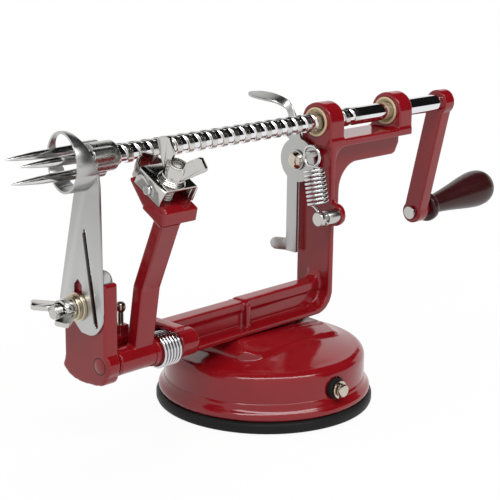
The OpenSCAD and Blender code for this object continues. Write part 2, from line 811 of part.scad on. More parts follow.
// Cast hub with three lobes that hold the prongs on the shaft's end.
module fork_hub() {
    color("#b9bab8") difference() {
        union() {
            bar_x(hub_front + 3, hub_rear - hub_front - 3, hub_d, 0, shaft_z);
            along(hub_front, lobe_len) translate([0, shaft_z]) for (k = [0 : 2]) strip([0, 0],
                prong_place(k), 2 * lobe_r);
        }
        bar_x(hub_rear - stub_len - seat, stub_len + 4, stub_d + 2 * seat, 0, shaft_z);
        along(hub_front - 1, prong_in + 1 + seat) translate([0, shaft_z]) for (k = [0 : 2])
            translate(prong_place(k))
            circle(d = prong_d + 2 * seat);
    }
}

// Three pointed prongs, thicker toward the hub.
module fork_prongs() {
    shoulder = prong_tip + prong_point;
    color(chrome) for (k = [0 : 2]) translate([0, prong_place(k)[0], shaft_z + prong_place(k)[1]])
        rotate([0, 90, 0])
        rotate_extrude($fn = 32) polygon([[0, prong_tip], [0.25, prong_tip], [prong_neck / 2, shoulder],
                                          [prong_d / 2, hub_front], [prong_d / 2, hub_front + prong_in],
                                              [0, hub_front + prong_in]]);
}

// Places children on the knob's tilted axis, at the crank's inner face.
module at_knob() {
    translate([crank_x, crank_y, crank_z]) rotate([0, -knob_tilt, 0]) children();
}

// Cast crank with a boss at each end.
module crank_arm() {
    top = [0, shaft_z];
    foot = [crank_y, crank_z];
    color(mould) difference() {
        union() {
            along(crank_x, crank_t) {
                translate(top) circle(crank_boss);
                translate(foot) circle(crank_foot);
                strip(top, foot, crank_w);
            }
            at_knob() bar_x(2, crank_t + 1, 2 * crank_foot - 2);
        }
        bar_x(crank_x - 1, crank_t + 4, shaft_d - 2 + 2 * seat, 0, shaft_z);
        at_knob() bar_x(-2, crank_t + 8, spindle_d + 2 * seat);
    }
}

// Rivet that the knob turns on.
module knob_spindle() {
    color(steel) at_knob() {
        bar_x(-2.2, crank_t + knob_len - 1, spindle_d);
        bar_x(-2.2, 1.2, spindle_d + 2);
    }
}

// Turned wooden knob with a collar.
module knob() {
    neck = 9;
    color("#2a0f10") at_knob() translate([crank_t + 3 + clear, 0, 0]) rotate([0, 90, 0]) difference() {
        union() {
            rotate_extrude() translate([collar_r - 3, 3]) circle(3);
            cylinder(h = 6, r = collar_r - 3);
            cylinder(h = neck + 4, r = 5.4);
            translate([0, 0, neck]) cylinder(h = knob_len - neck - knob_r, r1 = 5.6, r2 = knob_r);
            translate([0, 0, knob_len - knob_r]) sphere(knob_r);
        }
        translate([0, 0, -1]) cylinder(h = knob_len - 4, d = spindle_d + 2 * run + 0.2);
    }
}

// Sheet steel lever: round body, neck with a tooth in the thread, thumb tab, spring tab, leg and foot.
module release_lever() {
    front = lever_x - lever_t;
    leg_y = lever_y + 3.3;
    neck_y = 13.6;
    color(steel) difference() {
        union() {
            along(front, lever_t) {
                translate([lever_y, lever_z]) circle(lever_r);
                translate([leg_y - leg_w / 2, leg_low]) square([leg_w, lever_z - leg_low]);
                strip([lever_y + 1, lever_z + 4], [neck_y, tab_z - 4], 8);
                strip([lever_y - 5, lever_z + 3.5], [-1.6, lever_z + 5.8], 5);
            }
            translate([pawl_x - 0.7, shaft_r - 0.45, shaft_z - 0.9]) cube([1.4, neck_y - shaft_r, 1.8]);
            translate([lever_x, neck_y - 3, tab_z]) rotate([tab_rise, -tab_roll, 0])
                linear_extrude(lever_t) {
                translate([-tab_w, 0]) square([tab_w, tab_len - tab_w / 2]);
                translate([-tab_w / 2, tab_len - tab_w / 2]) circle(d = tab_w);
            }
            translate([front, neck_y - 3.2, tab_z - 8]) cube([lever_t, 7.6, 8.4]);
            translate([front - 6, -4.4, lever_z + 5.3]) cube([6 + lever_t, 2.6, lever_t]);
            translate([front + 0.4, leg_y + leg_w / 2 - 1.2, leg_low + 0.2]) rotate([0, 0,
                24]) cube([lever_t, foot_len, foot_h]);
        }
        bar_x(front - 1, lever_t + 2, rivet_d + 2 * run, lever_y, lever_z);
    }
}

// Dome-headed shoulder rivet that the lever turns on.
module lever_rivet() {
    face = lever_x - lever_t - 1.3;
    rise = 3.2;
    ball = (rivet_head * rivet_head / 4 + rise * rise) / (2 * rise);
    color(chrome) {
        bar_x(face - eps, post_x + post_t - face, rivet_d, lever_y, lever_z);
        bar_x(lever_x + clear, post_x - seat - lever_x - clear, rivet_d + 3, lever_y, lever_z);
        intersection() {
            translate([face + ball - rise, lever_y, lever_z]) sphere(ball);
            bar_x(face - rise - 1, rise + 1, rivet_head + 2, lever_y, lever_z);
        }
    }
}

// Washer under the rivet's dome.
module lever_washer() {
    color("#b79d84") difference() {
        bar_x(lever_x - lever_t - 1.3 + seat, 0.9, rivet_head + 1, lever_y, lever_z);
        bar_x(lever_x - lever_t - 3, 5, rivet_d + 2 * seat, lever_y, lever_z);
    }
}

// Centre line of the lever spring: hook on the pin, coil, loop on the lever's tab.
function lever_spring_path() =
    let (x = post_x - pin_len + 4.4, rh = pin_d / 2 - 1.3 + coil_wire + 0.3, count = coil_turns * 8,
         a = [x, pin_y + 4.9, pin_z + 6.4], b = [x, -4.2, lever_z - 1.8], dir = unit(b - a), e1 = [1, 0,
             0], e2 = cross(dir, e1),
         hook = [for (k = [0 : 10]) let (g = -150 + 21 * k) [x, pin_y + rh * cos(g), pin_z + rh * sin(g)]],
         coil = [for (i = [0 : count]) let (g = 360 * i / 8, r = coil_r * min(1, 0.1 + i / 4,
             0.1 + (count - i) / 4))
             a + (b - a) * i / count + r * (cos(g) * e1 + sin(g) * e2)],
         loop_r = 4.4, loop = [for (k = [0 : 14]) let (g = -80 + 23 * k) [x, -3.4 + loop_r * cos(g),
             lever_z + 4 + loop_r * sin(g)]])
    concat(hook, coil, loop);

// Coiled spring that holds the lever's tooth in the thread.
module lever_spring() {
    p = lever_spring_path();
    echo(lever_spring_gap = least_gap(p, 6, 2 * coil_wire));
    color(chrome) wire(p, coil_wire, [1, 0, 0]);
}

// Grooved pin for the lower end of the lever spring.
module spring_pin() {
    front = post_x - pin_len;
    color(steel) {
        difference() {
            bar_x(front, pin_len - seat, pin_d, pin_y, pin_z);
            difference() {
                bar_x(front + 3.2, 2.4, pin_d + 1, pin_y, pin_z);
                bar_x(front + 3, 3, pin_d - 2.6, pin_y, pin_z);
            }
        }
        bar_x(post_x - 1, post_t + 1, pin_d - 2, pin_y, pin_z);
    }
}

// Stainless plate with the corer ring at its top, a slit and a slot for the bolt.
module slicer_blade() {
    rear = slicer_x + slicer_t;
    corner = 9;
    color(steel) difference() {
        union() {
            along(slicer_x, slicer_t) {
                polygon([[slicer_edge + 0.8, shaft_z - 4], [slicer_edge, shaft_z - 10],
                    [slicer_edge - 0.8, bolt_z], [slicer_edge + 0.4, slicer_low + 6],
                         [slicer_edge + corner, slicer_low + 1], [0, slicer_low],
                             [slicer_edge + slicer_w, bolt_z + 1],
                         [slicer_edge + slicer_w - 2, bolt_z + 10], [slicer_edge + slicer_neck,
                             shaft_z - 17],
                         [slicer_edge + slicer_neck - 2, shaft_z - 10]]);
                translate([slicer_edge + corner - 0.5, slicer_low + corner - 0.3]) circle(corner);
            }
            difference() {
                bar_x(corer_front - 4, rear - 0.4 - corer_front + 4, 2 * corer_r, 0, shaft_z);
                translate([corer_front, 0, shaft_z]) rotate([0, 0, -corer_slant]) translate([-40, -40, -40])
                    cube([40, 80, 80]);
                across(80) polygon([[slicer_x - corer_back, shaft_z + corer_r + 1], [rear, shaft_z - 6],
                    [rear + 10, shaft_z - 6],
                                    [rear + 10, shaft_z + corer_r + 1]]);
            }
            difference() {
                translate([slicer_x + 0.3, slicer_edge - 0.4, end_top + clear]) cube([ear_len, slicer_t,
                    ear_len]);
                translate([0, slicer_edge - 1, 0]) rotate([-90, 0, 0])
                    linear_extrude(slicer_t + 2) difference() {
                    translate([slicer_x + 0.4, -end_top - clear - ear_len - eps]) square(ear_len);
                    translate([slicer_x + 0.3, -end_top - clear]) circle(ear_len);
                }
            }
        }
        bar_x(corer_front - 5, rear - corer_front + 6, 2 * (corer_r - corer_t), 0, shaft_z);
        along(slicer_x - 1, slicer_t + 2) {
            strip([-3.3, 107], [-10.4, slicer_low + 5], slit_w);
            translate([bolt_y, bolt_z]) circle(d = bolt_d + 2 * seat);
            translate([bolt_y, bolt_z]) polygon([[-slot_w / 2, 0], [slot_w / 2, 0], [slot_w / 2,
                slot_up - 3],
                                                 [0, slot_up], [-slot_w / 2, slot_up - 2.4]]);
        }
    }
}

// Round-headed bolt through the end plate.
module slicer_bolt() {
    rear = end_x + end_t + seat;
    front = nut_base - wing_len - nut_show;
    color(steel) translate([front, bolt_y, bolt_z]) rotate([0, 90, 0]) rotate_extrude() {
        polygon([[0, 0], [bolt_d / 2 - 0.8, 0], [bolt_d / 2, 0.8], [bolt_d / 2, rear - front + 1], [0,
            rear - front + 1]]);
        intersection() {
            translate([0, rear - front - bolt_r + bolt_dome]) circle(bolt_r);
            translate([0, rear - front]) square([bolt_r, bolt_dome + 1]);
        }
    }
}

// Flat washer and lock washer under the slicer's wing nut.
module slicer_washer() {
    flat_t = washer_t * 0.45;
    color("#c2b48e") difference() {
        union() {
            bar_x(slicer_x - seat - flat_t, flat_t, washer_d, bolt_y, bolt_z);
            bar_x(slicer_x - seat - washer_t, washer_t - flat_t - seat, washer_d - 1.6, bolt_y, bolt_z);
        }
        bar_x(slicer_x - washer_t - 2, washer_t + 4, bolt_d + 2 * seat, bolt_y, bolt_z);
    }
}

// Wing nut that clamps the slicer.
module slicer_wing_nut() {
    color(steel) translate([nut_base, bolt_y, bolt_z]) rotate([slicer_turn, 0, 0]) rotate([0, -90,
        0]) wing_nut(bolt_d + 2 * run);
}

// Pin that the peeling arm swings on.
module pivot_pin() {
    color(steel) bar_x(end_x + end_t / 2 + seat, twist_end + 9 - end_x, pivot_d, pivot_y, pivot_z);
}

// Centre line of the arm spring, with a straight end each way.
function arm_spring_path() =
    let (count = twist_turns * 8, top = pivot_z + twist_r)
    concat([for (k = [2 : -1 : 1]) [twist_x, pivot_y + 2 * k, top]],
           [for (i = [0 : count]) let (g = 90 + 360 * i / 8)
               [twist_x + (twist_end - twist_x) * i / count, pivot_y + twist_r * cos(g),
                   pivot_z + twist_r * sin(g)]],
           [for (k = [1 : 2]) [twist_end, pivot_y - 2 * k, top]]);

// Coiled spring that presses the peeling arm toward the fruit.
module arm_spring() {
    p = arm_spring_path();
    echo(arm_spring_gap = least_gap(p, 6, 2 * twist_wire));
    color(chrome) wire(p, twist_wire, [1, 0, 0]);
}

// Places children on the sloping head of the peeling arm.
module on_head() {
    translate([0, elbow_y, elbow_z]) rotate([head_slope, 0, 0]) children();
}

// Cast arm: barrel, bent bar and sloping head.
module peel_arm() {
    front = end_x + end_t + clear;
    color(mould) difference() {
        union() {
            along(arm_x, arm_w) {
                strip([pivot_y, pivot_z], [knee_y, knee_z], peel_t);
                strip([knee_y, knee_z], [elbow_y, elbow_z], peel_t);
            }
            bar_x(front, twist_x - 2.4 - clear - front, barrel_d, pivot_y, pivot_z);
            on_head() translate([arm_x, 0, 0]) rotate([90, 0, 90]) linear_extrude(head_w)
                polygon([[-2.4, head_top], [head_len, head_top], [head_len, head_top - head_edge],
                         [head_heel, head_top - head_t], [-2.4, head_top - head_t]]);
        }
        bar_x(front - 1, 60, pivot_d + 2 * run, pivot_y, pivot_z);
        on_head() translate([head_mid + clamp_bolt_x, clamp_bolt_y, -10]) cylinder(h = 20,
            d = clamp_bolt_d + 2 * seat);
    }
}

// Screw with a round head on the beam behind the arm.
module stop_screw() {
    color(chrome) translate([arm_x + 3.5, 0, 0]) {
        translate([0, 0, rail_top + 1]) cylinder(h = 11, d = stop_d);
        translate([0, 0, rail_top + 12.6]) sphere(d = stop_head);
    }
}

// A channel's outline with round upper corners.
module channel_outline(w, h, r) {
    square([w, h - r]);
    translate([r, 0]) square([w - 2 * r, h]);
    for (x = [r, w - r]) translate([x, h - r]) circle(r);
}

// Sheet steel channel over the blade.
module blade_clamp() {
    color(steel) on_head() difference() {
        translate([arm_x - 0.6, clamp_y + clamp_len, clamp_low]) rotate([90, 0, 0])
            linear_extrude(clamp_len) difference() {
            channel_outline(clamp_w, clamp_h, clamp_round);
            translate([clamp_t, -1]) channel_outline(clamp_w - 2 * clamp_t, clamp_h + 1 - clamp_t,
                clamp_round - clamp_t);
        }
        translate([head_mid + clamp_bolt_x, clamp_bolt_y, 0]) cylinder(h = 20, d = clamp_bolt_d + 2 * seat);
        translate([arm_x - 2, rivet_y, clamp_low + 2.4]) rotate([0, 90, 0]) cylinder(h = clamp_t + 3,
            d = 3 + 2 * seat);
    }
}

// Rivet in the side of the clamp.
module clamp_rivet() {
    color(chrome) on_head() translate([arm_x - 0.6, rivet_y, clamp_low + 2.4]) rotate([0, 90, 0]) {
        translate([0, 0, -1]) cylinder(h = 1 + clamp_t, d = 3);
        translate([0, 0, -1.2]) cylinder(h = 1.2 - seat, d = 4.2);
    }
}

// Strip of steel bent into a loop, its slanting front part with the cutting edge toward the fruit.
module peel_blade() {
    w = clamp_w - 2 * clamp_t - 2 * clear;
    x0 = head_mid - w / 2;
    tail = clamp_y + 1;
    color("#b7aea4") on_head() {
        intersection() {
            translate([x0, tail, head_top + seat]) linear_extrude(blade_in) loop_outline(w,
                blade_tip - tail);
            translate([x0 - 5, tail - 1, 0]) cube([w + 10, blade_front + 1 - tail + 1, 30]);
        }
        intersection() {
            translate([x0, tail, -10]) linear_extrude(40) loop_outline(w, blade_tip - tail);
            translate([0, blade_tip + 1, 0]) rotate([90, 0, 0]) linear_extrude(blade_tip + 1 - blade_front)
                polygon([[x0 - 1, blade_top], [x0 + w + 1, blade_top - blade_fall], [x0 + w + 1,
                    blade_top - blade_fall - blade_h],
                         [x0 - 1, blade_top - blade_h]]);
        }
    }
}

// A strip bent into a U, open toward its near end.
module loop_outline(w, span) {
    bend = 6;
    difference() {
        union() {
            square([w, span - bend]);
            translate([0, span - 2 * bend - 1]) soft_box([w, 2 * bend + 1], bend);
        }
        translate([blade_t, -1]) square([w - 2 * blade_t, span - bend + 1]);
        translate([blade_t, span - 2 * bend - 1]) soft_box([w - 2 * blade_t, 2 * bend + 1 - blade_t],
            bend - blade_t);
    }
}

// Bolt up through the arm's head and the clamp.
module clamp_bolt() {
    low = head_top - head_t;
    color(steel) on_head() translate([head_mid + clamp_bolt_x, clamp_bolt_y, low]) {
        translate([0, 0, -1]) cylinder(h = clamp_low + clamp_h + nut_up + wing_len - low + 1,
            d = clamp_bolt_d);
        translate([0, 0, -3.2 - seat]) cylinder(h = 3.2, d = clamp_bolt_head, $fn = 6);
    }
}

// Wing nut that holds the blade clamp down.
module clamp_wing_nut() {
    color(steel) on_head() translate([head_mid + clamp_bolt_x, clamp_bolt_y,
        clamp_low + clamp_h + nut_up]) rotate(nut_turn)
        wing_nut(clamp_bolt_d + 2 * run);
}

rubber_ring();
rubber_disc();
pull_stem();
base_shell();
cam_axle();
axle_bush();
axle_clip();
suction_lever();
frame();
frame_screws();
front_bush();
rear_bush();
lead_screw();
fork_hub();
fork_prongs();
crank_arm();
knob_spindle();
knob();
release_lever();
lever_rivet();
lever_washer();
lever_spring();
spring_pin();
slicer_blade();
slicer_bolt();
slicer_washer();
slicer_wing_nut();
pivot_pin();
arm_spring();
peel_arm();
stop_screw();
blade_clamp();
clamp_rivet();
peel_blade();
clamp_bolt();
clamp_wing_nut();
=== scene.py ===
import math

import bmesh
import bpy
from mathutils import Matrix, Vector


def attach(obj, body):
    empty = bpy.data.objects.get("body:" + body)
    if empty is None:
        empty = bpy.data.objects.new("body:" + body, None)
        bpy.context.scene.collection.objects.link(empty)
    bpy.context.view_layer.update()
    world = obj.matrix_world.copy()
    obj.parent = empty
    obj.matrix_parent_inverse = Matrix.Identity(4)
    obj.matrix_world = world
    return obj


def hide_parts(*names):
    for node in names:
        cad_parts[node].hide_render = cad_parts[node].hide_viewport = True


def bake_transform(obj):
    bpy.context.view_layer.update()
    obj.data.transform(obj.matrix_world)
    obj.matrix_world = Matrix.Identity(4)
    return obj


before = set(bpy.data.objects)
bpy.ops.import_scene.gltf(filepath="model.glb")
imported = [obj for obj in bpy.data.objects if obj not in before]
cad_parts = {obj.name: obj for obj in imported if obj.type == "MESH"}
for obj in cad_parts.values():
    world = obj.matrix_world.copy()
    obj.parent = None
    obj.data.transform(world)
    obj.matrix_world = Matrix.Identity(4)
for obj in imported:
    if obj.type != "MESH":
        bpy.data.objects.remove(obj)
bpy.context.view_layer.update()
scene = bpy.context.scene
mm = 0.001

# The studio camera stands off the fork's end, a little above the shaft, with a long lens.
# Its place was solved from the base's circles, the post's edges and the shaft.
lens_px, frame_px, sensor_mm = 1365.2, 500, 36
eye = Vector((-0.4812, -0.4549, 0.2487))
eye_right = Vector((0.69756, -0.71644, 0.01102))
eye_up = Vector((0.17239, 0.18274, 0.96793))
eye_back = Vector((-0.69548, -0.67329, 0.25098))
camera_data = bpy.data.cameras.new("studio_camera")
camera_data.sensor_width = sensor_mm
camera_data.lens = lens_px / frame_px * sensor_mm
camera_data.clip_start, camera_data.clip_end = 0.01, 50
camera = bpy.data.objects.new("studio_camera", camera_data)
camera.matrix_world = Matrix((
    (eye_right.x, eye_up.x, eye_back.x, eye.x),
    (eye_right.y, eye_up.y, eye_back.y, eye.y),
    (eye_right.z, eye_up.z, eye_back.z, eye.z),
    (0, 0, 0, 1)))
scene.collection.objects.link(camera)
scene.camera = camera
scene.view_settings.view_transform = "Standard"


# The studio is a pale floor that runs into a white surround, under a dark ceiling.
# Soft boxes light the tool, and dark cards that the lens doesn't see give metal its dark bands.
class Tone:
    """A value in a finish. Arithmetic on it adds Math nodes."""

    def __init__(self, finish, socket):
        self.finish, self.socket = finish, socket

    def math(self, operation, first, second):
        return self.finish.node("ShaderNodeMath", {"operation": operation}, {0: first, 1: second})

    def __add__(self, other):
        return self.math("ADD", self, other)

    __radd__ = __add__

    def __sub__(self, other):
        return self.math("SUBTRACT", self, other)

    def __rsub__(self, other):
        return self.math("SUBTRACT", other, self)

    def __mul__(self, other):
        return self.math("MULTIPLY", self, other)

    __rmul__ = __mul__


class Finish:
    """A surface finish: a material, or the studio's world, and the nodes that make it."""

    def __init__(self, owner):
        self.owner = owner
        owner.use_nodes = True
        self.tree = owner.node_tree
        self.tree.nodes.clear()

    def node(self, kind, settings={}, sockets={}, out=0):
        made = self.tree.nodes.new(kind)
        for key, value in settings.items():
            setattr(made, key, value)
        for key, value in sockets.items():
            if isinstance(value, Tone):
                self.tree.links.new(value.socket, made.inputs[key])
            else:
                made.inputs[key].default_value = value
        return Tone(self, made.outputs[out] if len(made.outputs) else None)

    def seen(self):
        """1 for rays from the lens, off gloss or through glass, 0 for light that falls on things."""
        rays = "Is Camera Ray", "Is Glossy Ray", "Is Transmission Ray"
        return sum(self.node("ShaderNodeLightPath", out=ray) for ray in rays)


surround = Finish(bpy.data.worlds.new("white_surround"))
scene.world = surround.owner
surround.node("ShaderNodeOutputWorld", {}, {"Surface": surround.node("ShaderNodeMixShader", {}, {
    0: surround.seen(),
    1: surround.node("ShaderNodeBackground", {}, {"Color": (1, 1, 1, 1), "Strength": 0.32}),
    2: surround.node("ShaderNodeBackground", {}, {"Color": (1, 1, 1, 1), "Strength": 1.0})})})


def card(name, centre, faces, width, height):
    """A flat sheet in the studio, turned to face a point."""
    mesh = bpy.data.meshes.new(name)
    x, y = width / 2, height / 2
    mesh.from_pydata([(-x, -y, 0), (x, -y, 0), (x, y, 0), (-x, y, 0)], [], [(0, 1, 2, 3)])
    sheet = bpy.data.objects.new(name, mesh)
    sheet.location = centre
    sheet.rotation_euler = (Vector(faces) - Vector(centre)).to_track_quat("Z", "Y").to_euler()
    scene.collection.objects.link(sheet)
    return sheet


def coords(finish):
    """Places on a piece in metres, in its own frame."""
    return finish.node("ShaderNodeTexCoord", out="Object")


floor = card("floor", (0, 0, -0.0002), (0, 0, 1), width=12, height=12)
floor_paint = Finish(bpy.data.materials.new("pale_floor"))
floor_reach = floor_paint.node("ShaderNodeVectorMath", {"operation": "LENGTH"}, {0: coords(floor_paint)},
                               out="Value")
floor_white = floor_paint.node("ShaderNodeMapRange", {}, {
    "Value": floor_reach, "From Min": 0.1, "From Max": 0.35, "To Min": 0.94, "To Max": 1.0})
floor_paint.node("ShaderNodeOutputMaterial", {}, {"Surface": floor_paint.node("ShaderNodeMixShader", {}, {
    0: floor_paint.seen() * floor_white,
    1: floor_paint.node("ShaderNodeBsdfDiffuse", {}, {"Color": (0.88, 0.88, 0.88, 1)}),
    2: floor_paint.node("ShaderNodeEmission", {}, {"Color": (1, 1, 1, 1), "Strength": 1.0})})})
floor.data.materials.append(floor_paint.owner)

black_cloth = Finish(bpy.data.materials.new("black_cloth"))
black_cloth.node("ShaderNodeOutputMaterial", {}, {
    "Surface": black_cloth.node("ShaderNodeBsdfDiffuse", {}, {"Color": (0.012, 0.012, 0.012, 1)})})
for name, centre, width, height in (("dark_card", (0.95, -0.85, 0.52), 1.5, 0.95),
                                    ("dark_wing", (1.05, -0.3, 0.92), 1.8, 0.9),
                                    ("dark_ceiling", (0.1, 0.1, 1.5), 2.6, 2.6)):
    dark_card = card(name, centre, (0, 0, 0.1), width, height)
    dark_card.data.materials.append(black_cloth.owner)
    dark_card.visible_camera = False
    dark_card.visible_shadow = False
    dark_card.visible_diffuse = False


def soft_box(name, place, aim, width, height, watts, mirrored):
    """A soft light aimed at a point, which gloss mirrors or not."""
    lamp = bpy.data.lights.new(name, "AREA")
    lamp.shape, lamp.size, lamp.size_y, lamp.energy = "RECTANGLE", width, height, watts
    stand = bpy.data.objects.new(name, lamp)
    stand.location = place
    stand.rotation_euler = (Vector(place) - Vector(aim)).to_track_quat("Z", "Y").to_euler()
    stand.visible_glossy = mirrored
    scene.collection.objects.link(stand)


tool_middle = (0, 0, 0.08)
soft_box("key_box", (-0.48, -0.86, 1.36), tool_middle, width=2.4, height=0.3, watts=21, mirrored=True)
soft_box("top_box", (0.25, 0.3, 1.45), tool_middle, width=0.9, height=0.9, watts=8, mirrored=False)


# The foot is a moulded rubber ring under the casting's edge, with a thin rubber disc inside
# it. The disc is bonded to a steel stem, which the cam draws up to make the suction.
def noise(finish, stretch, detail=3.0, rough=0.5):
    """Uneven tone from 0 to 1, stretched along each axis for streaks and grain."""
    place = finish.node("ShaderNodeVectorMath", {"operation": "MULTIPLY"}, {0: coords(finish), 1: stretch})
    return finish.node("ShaderNodeTexNoise", {}, {
        "Vector": place, "Scale": 1.0, "Detail": detail, "Roughness": rough})


def mixed(finish, factor, first, second):
    """Two colours mixed by a factor."""
    return finish.node("ShaderNodeMix", {"data_type": "RGBA"}, {
        "Factor": factor, "A": first, "B": second}, out="Result")


def ramped(finish, factor, low, high):
    """0 below low, 1 above high and even between."""
    return finish.node("ShaderNodeMapRange", {}, {
        "Value": factor, "From Min": low, "From Max": high, "To Min": 0.0, "To Max": 1.0})


def bumped(finish, height, strength, depth):
    """Relief too fine to model."""
    return finish.node("ShaderNodeBump", {}, {"Strength": strength, "Distance": depth, "Height": height})


def surface(finish, sockets):
    """The finish's material, with these values and tones on its surface."""
    shaded = finish.node("ShaderNodeBsdfPrincipled", {}, sockets)
    finish.node("ShaderNodeOutputMaterial", {}, {"Surface": shaded})
    return finish.owner


def settled(name, shape, sharp):
    """A piece from a worked shape, smooth but for creases where faces turn more than the sharp angle."""
    mesh = bpy.data.meshes.new(name)
    shape.to_mesh(mesh)
    shape.free()
    mesh.shade_smooth()
    mesh.set_sharp_from_angle(angle=math.radians(sharp))
    piece = bpy.data.objects.new(name, mesh)
    scene.collection.objects.link(piece)
    return piece


def skinned(name, rings, closed=False, sharp=40):
    """A piece through rings of points, with ends, or with the last ring joined to the first."""
    shape = bmesh.new()
    rows = [[shape.verts.new(point) for point in ring] for ring in rings]
    for first, second in zip(rows, rows[1:] + rows[:1] if closed else rows[1:]):
        for k in range(len(first)):
            after = (k + 1) % len(first)
            shape.faces.new((first[k], first[after], second[after], second[k]))
    if not closed:
        shape.faces.new(rows[0])
        shape.faces.new(rows[-1])
    bmesh.ops.remove_doubles(shape, verts=shape.verts, dist=1e-6)
    bmesh.ops.recalc_face_normals(shape, faces=shape.faces)
    return settled(name, shape, sharp)


def turned(name, profile, foot, axis, closed=False, count=64, sharp=40):
    """A piece turned about an axis, from a profile of (radius, distance from the foot) in millimetres."""
    axis = Vector(axis).normalized()
    side = axis.orthogonal().normalized()
    other = axis.cross(side)
    rings = [[(Vector(foot) + axis * along + (side * math.cos(math.tau * k / count)
               + other * math.sin(math.tau * k / count)) * max(radius, 1e-4)) * mm for k in range(count)]
             for radius, along in profile]
    return skinned(name, rings, closed, sharp)


def dressed(piece, material, body, slot, *nodes):
    """Gives a piece its finish and its body, and hides the solids that it stands for."""
    piece.data.materials.clear()
    piece.data.materials.append(material)
    if body:
        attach(piece, body)
    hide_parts(*nodes)
    return piece


rubber = Finish(bpy.data.materials.new("moulded_rubber"))
rubber_skin = noise(rubber, (500, 500, 500), detail=4)
rubber_bloom = noise(rubber, (60, 60, 90))
moulded_rubber = surface(rubber, {
    "Base Color": mixed(rubber, rubber_bloom, (0.008, 0.008, 0.008, 1), (0.022, 0.021, 0.021, 1)),
    "Roughness": 0.36 + 0.2 * rubber_skin, "Normal": bumped(rubber, rubber_skin, 0.15, 0.0002), "IOR": 1.2})
ring_profile = [(47.3, 1.0), (48.2, 0.1), (53.6, 0.1), (54.7, 0.6), (55.15, 1.6), (55.15, 4.0), (54.8, 5.0),
                (54.2, 5.6), (53.4, 5.95), (48.2, 5.95), (47.3, 5.0)]
dressed(turned("foot_ring", ring_profile, (0, 0, 0), (0, 0, 1), closed=True, count=160, sharp=50),
        moulded_rubber, "base", "rubber", "rubber_ring")
stem_x = -3
disc_profile = [(0.01, 0.3), (8, 0.3), (36, 0.9), (43.4, 0.1), (43.9, 0.8), (43.6, 2.1), (36, 2.35),
                (15, 2.35), (12.4, 2.8), (11.6, 4.2), (4.2, 4.35), (4.06, 0.9), (0.01, 0.85)]
dressed(turned("suction_disc", disc_profile, (stem_x, 0, 0), (0, 0, 1), count=96),
        moulded_rubber, "plunger", "rubber", "rubber_disc")


# Steel pieces that keep the shape of their solids get a copy of the mesh whose sharp edges
# are eased, as filing and tumbling leave them. The stem is one: a forging in zinc plate.
def eased(node, name, ease, turn=32, segments=2):
    """A copy of a solid with its sharp edges rounded off."""
    shape = bmesh.new()
    shape.from_mesh(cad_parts[node].data)
    bmesh.ops.remove_doubles(shape, verts=shape.verts, dist=3e-6)
    bmesh.ops.dissolve_limit(shape, angle_limit=math.radians(0.5), verts=shape.verts, edges=shape.edges)
    sharp = [edge for edge in shape.edges
             if len(edge.link_faces) == 2 and edge.calc_face_angle() > math.radians(turn)]
    bmesh.ops.bevel(shape, geom=sharp, offset=ease * mm, segments=segments, profile=0.5, affect="EDGES",
                    clamp_overlap=False)
    return settled(name, shape, sharp=28)


def satin_steel(name, tint, grain_along, rough):
    """Steel in a satin finish: fine grain, long along an axis or even, and faint handling marks."""
    sheet = Finish(bpy.data.materials.new(name))
    grain = noise(sheet, grain_along, detail=4, rough=0.65)
    patch = noise(sheet, (90, 90, 90))
    dull = tuple(c * 0.86 for c in tint)
    return surface(sheet, {
        "Base Color": mixed(sheet, grain * 0.7 + patch * 0.3, dull + (1,), tint + (1,)),
        "Metallic": 1.0, "Roughness": rough - 0.05 + 0.1 * grain + 0.08 * patch,
        "Normal": bumped(sheet, grain, 0.06, 0.00005)})


plain_steel = satin_steel("plain_steel", (0.58, 0.57, 0.55), (260, 260, 260), 0.24)
dressed(eased("pull_stem", "suction_stem", 0.5), plain_steel, "plunger", "steel", "pull_stem")


# The base and the frame are iron castings in glossy red enamel. Sand and paint leave every
# edge and inner corner round, so their skins are worked out as thick, smoothed shells.
def cast(node, name, cell, passes, keep, fillets=()):
    """A solid as a casting: fillets run in between outlines, then every edge and inner corner rounded."""
    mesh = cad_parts[node].data.copy()
    shape = bmesh.new()
    shape.from_mesh(mesh)
    for outlines in fillets:
        rings = [[shape.verts.new(Vector(point) * mm) for point in outline] for outline in outlines]
        shape.faces.new(rings[0])
        shape.faces.new(rings[-1])
        for first, second in zip(rings, rings[1:]):
            for k in range(len(first)):
                shape.faces.new((first[k - 1], second[k - 1], second[k], first[k]))
    bmesh.ops.recalc_face_normals(shape, faces=shape.faces)
    shape.to_mesh(mesh)
    shape.free()
    shell = bpy.data.objects.new(name, mesh)
    scene.collection.objects.link(shell)
    weld = shell.modifiers.new("joined", "WELD")
    weld.merge_threshold = 3e-6
    skin = shell.modifiers.new("skin", "REMESH")
    skin.mode, skin.voxel_size, skin.use_smooth_shade = "VOXEL", cell * mm, True
    soft = shell.modifiers.new("soft", "SMOOTH")
    soft.factor, soft.iterations = 0.5, passes
    thin = shell.modifiers.new("thin", "DECIMATE")
    thin.ratio = keep
    bpy.context.view_layer.update()
    mesh = bpy.data.meshes.new_from_object(shell.evaluated_get(bpy.context.evaluated_depsgraph_get()))
    bpy.data.objects.remove(shell)
    mesh.shade_smooth()
    piece = bpy.data.objects.new(name, mesh)
    scene.collection.objects.link(piece)
    return piece


def eased_step(value):
    """0 to 1 with soft ends."""
    value = max(0.0, min(1.0, value))
    return value * value * (3 - 2 * value)


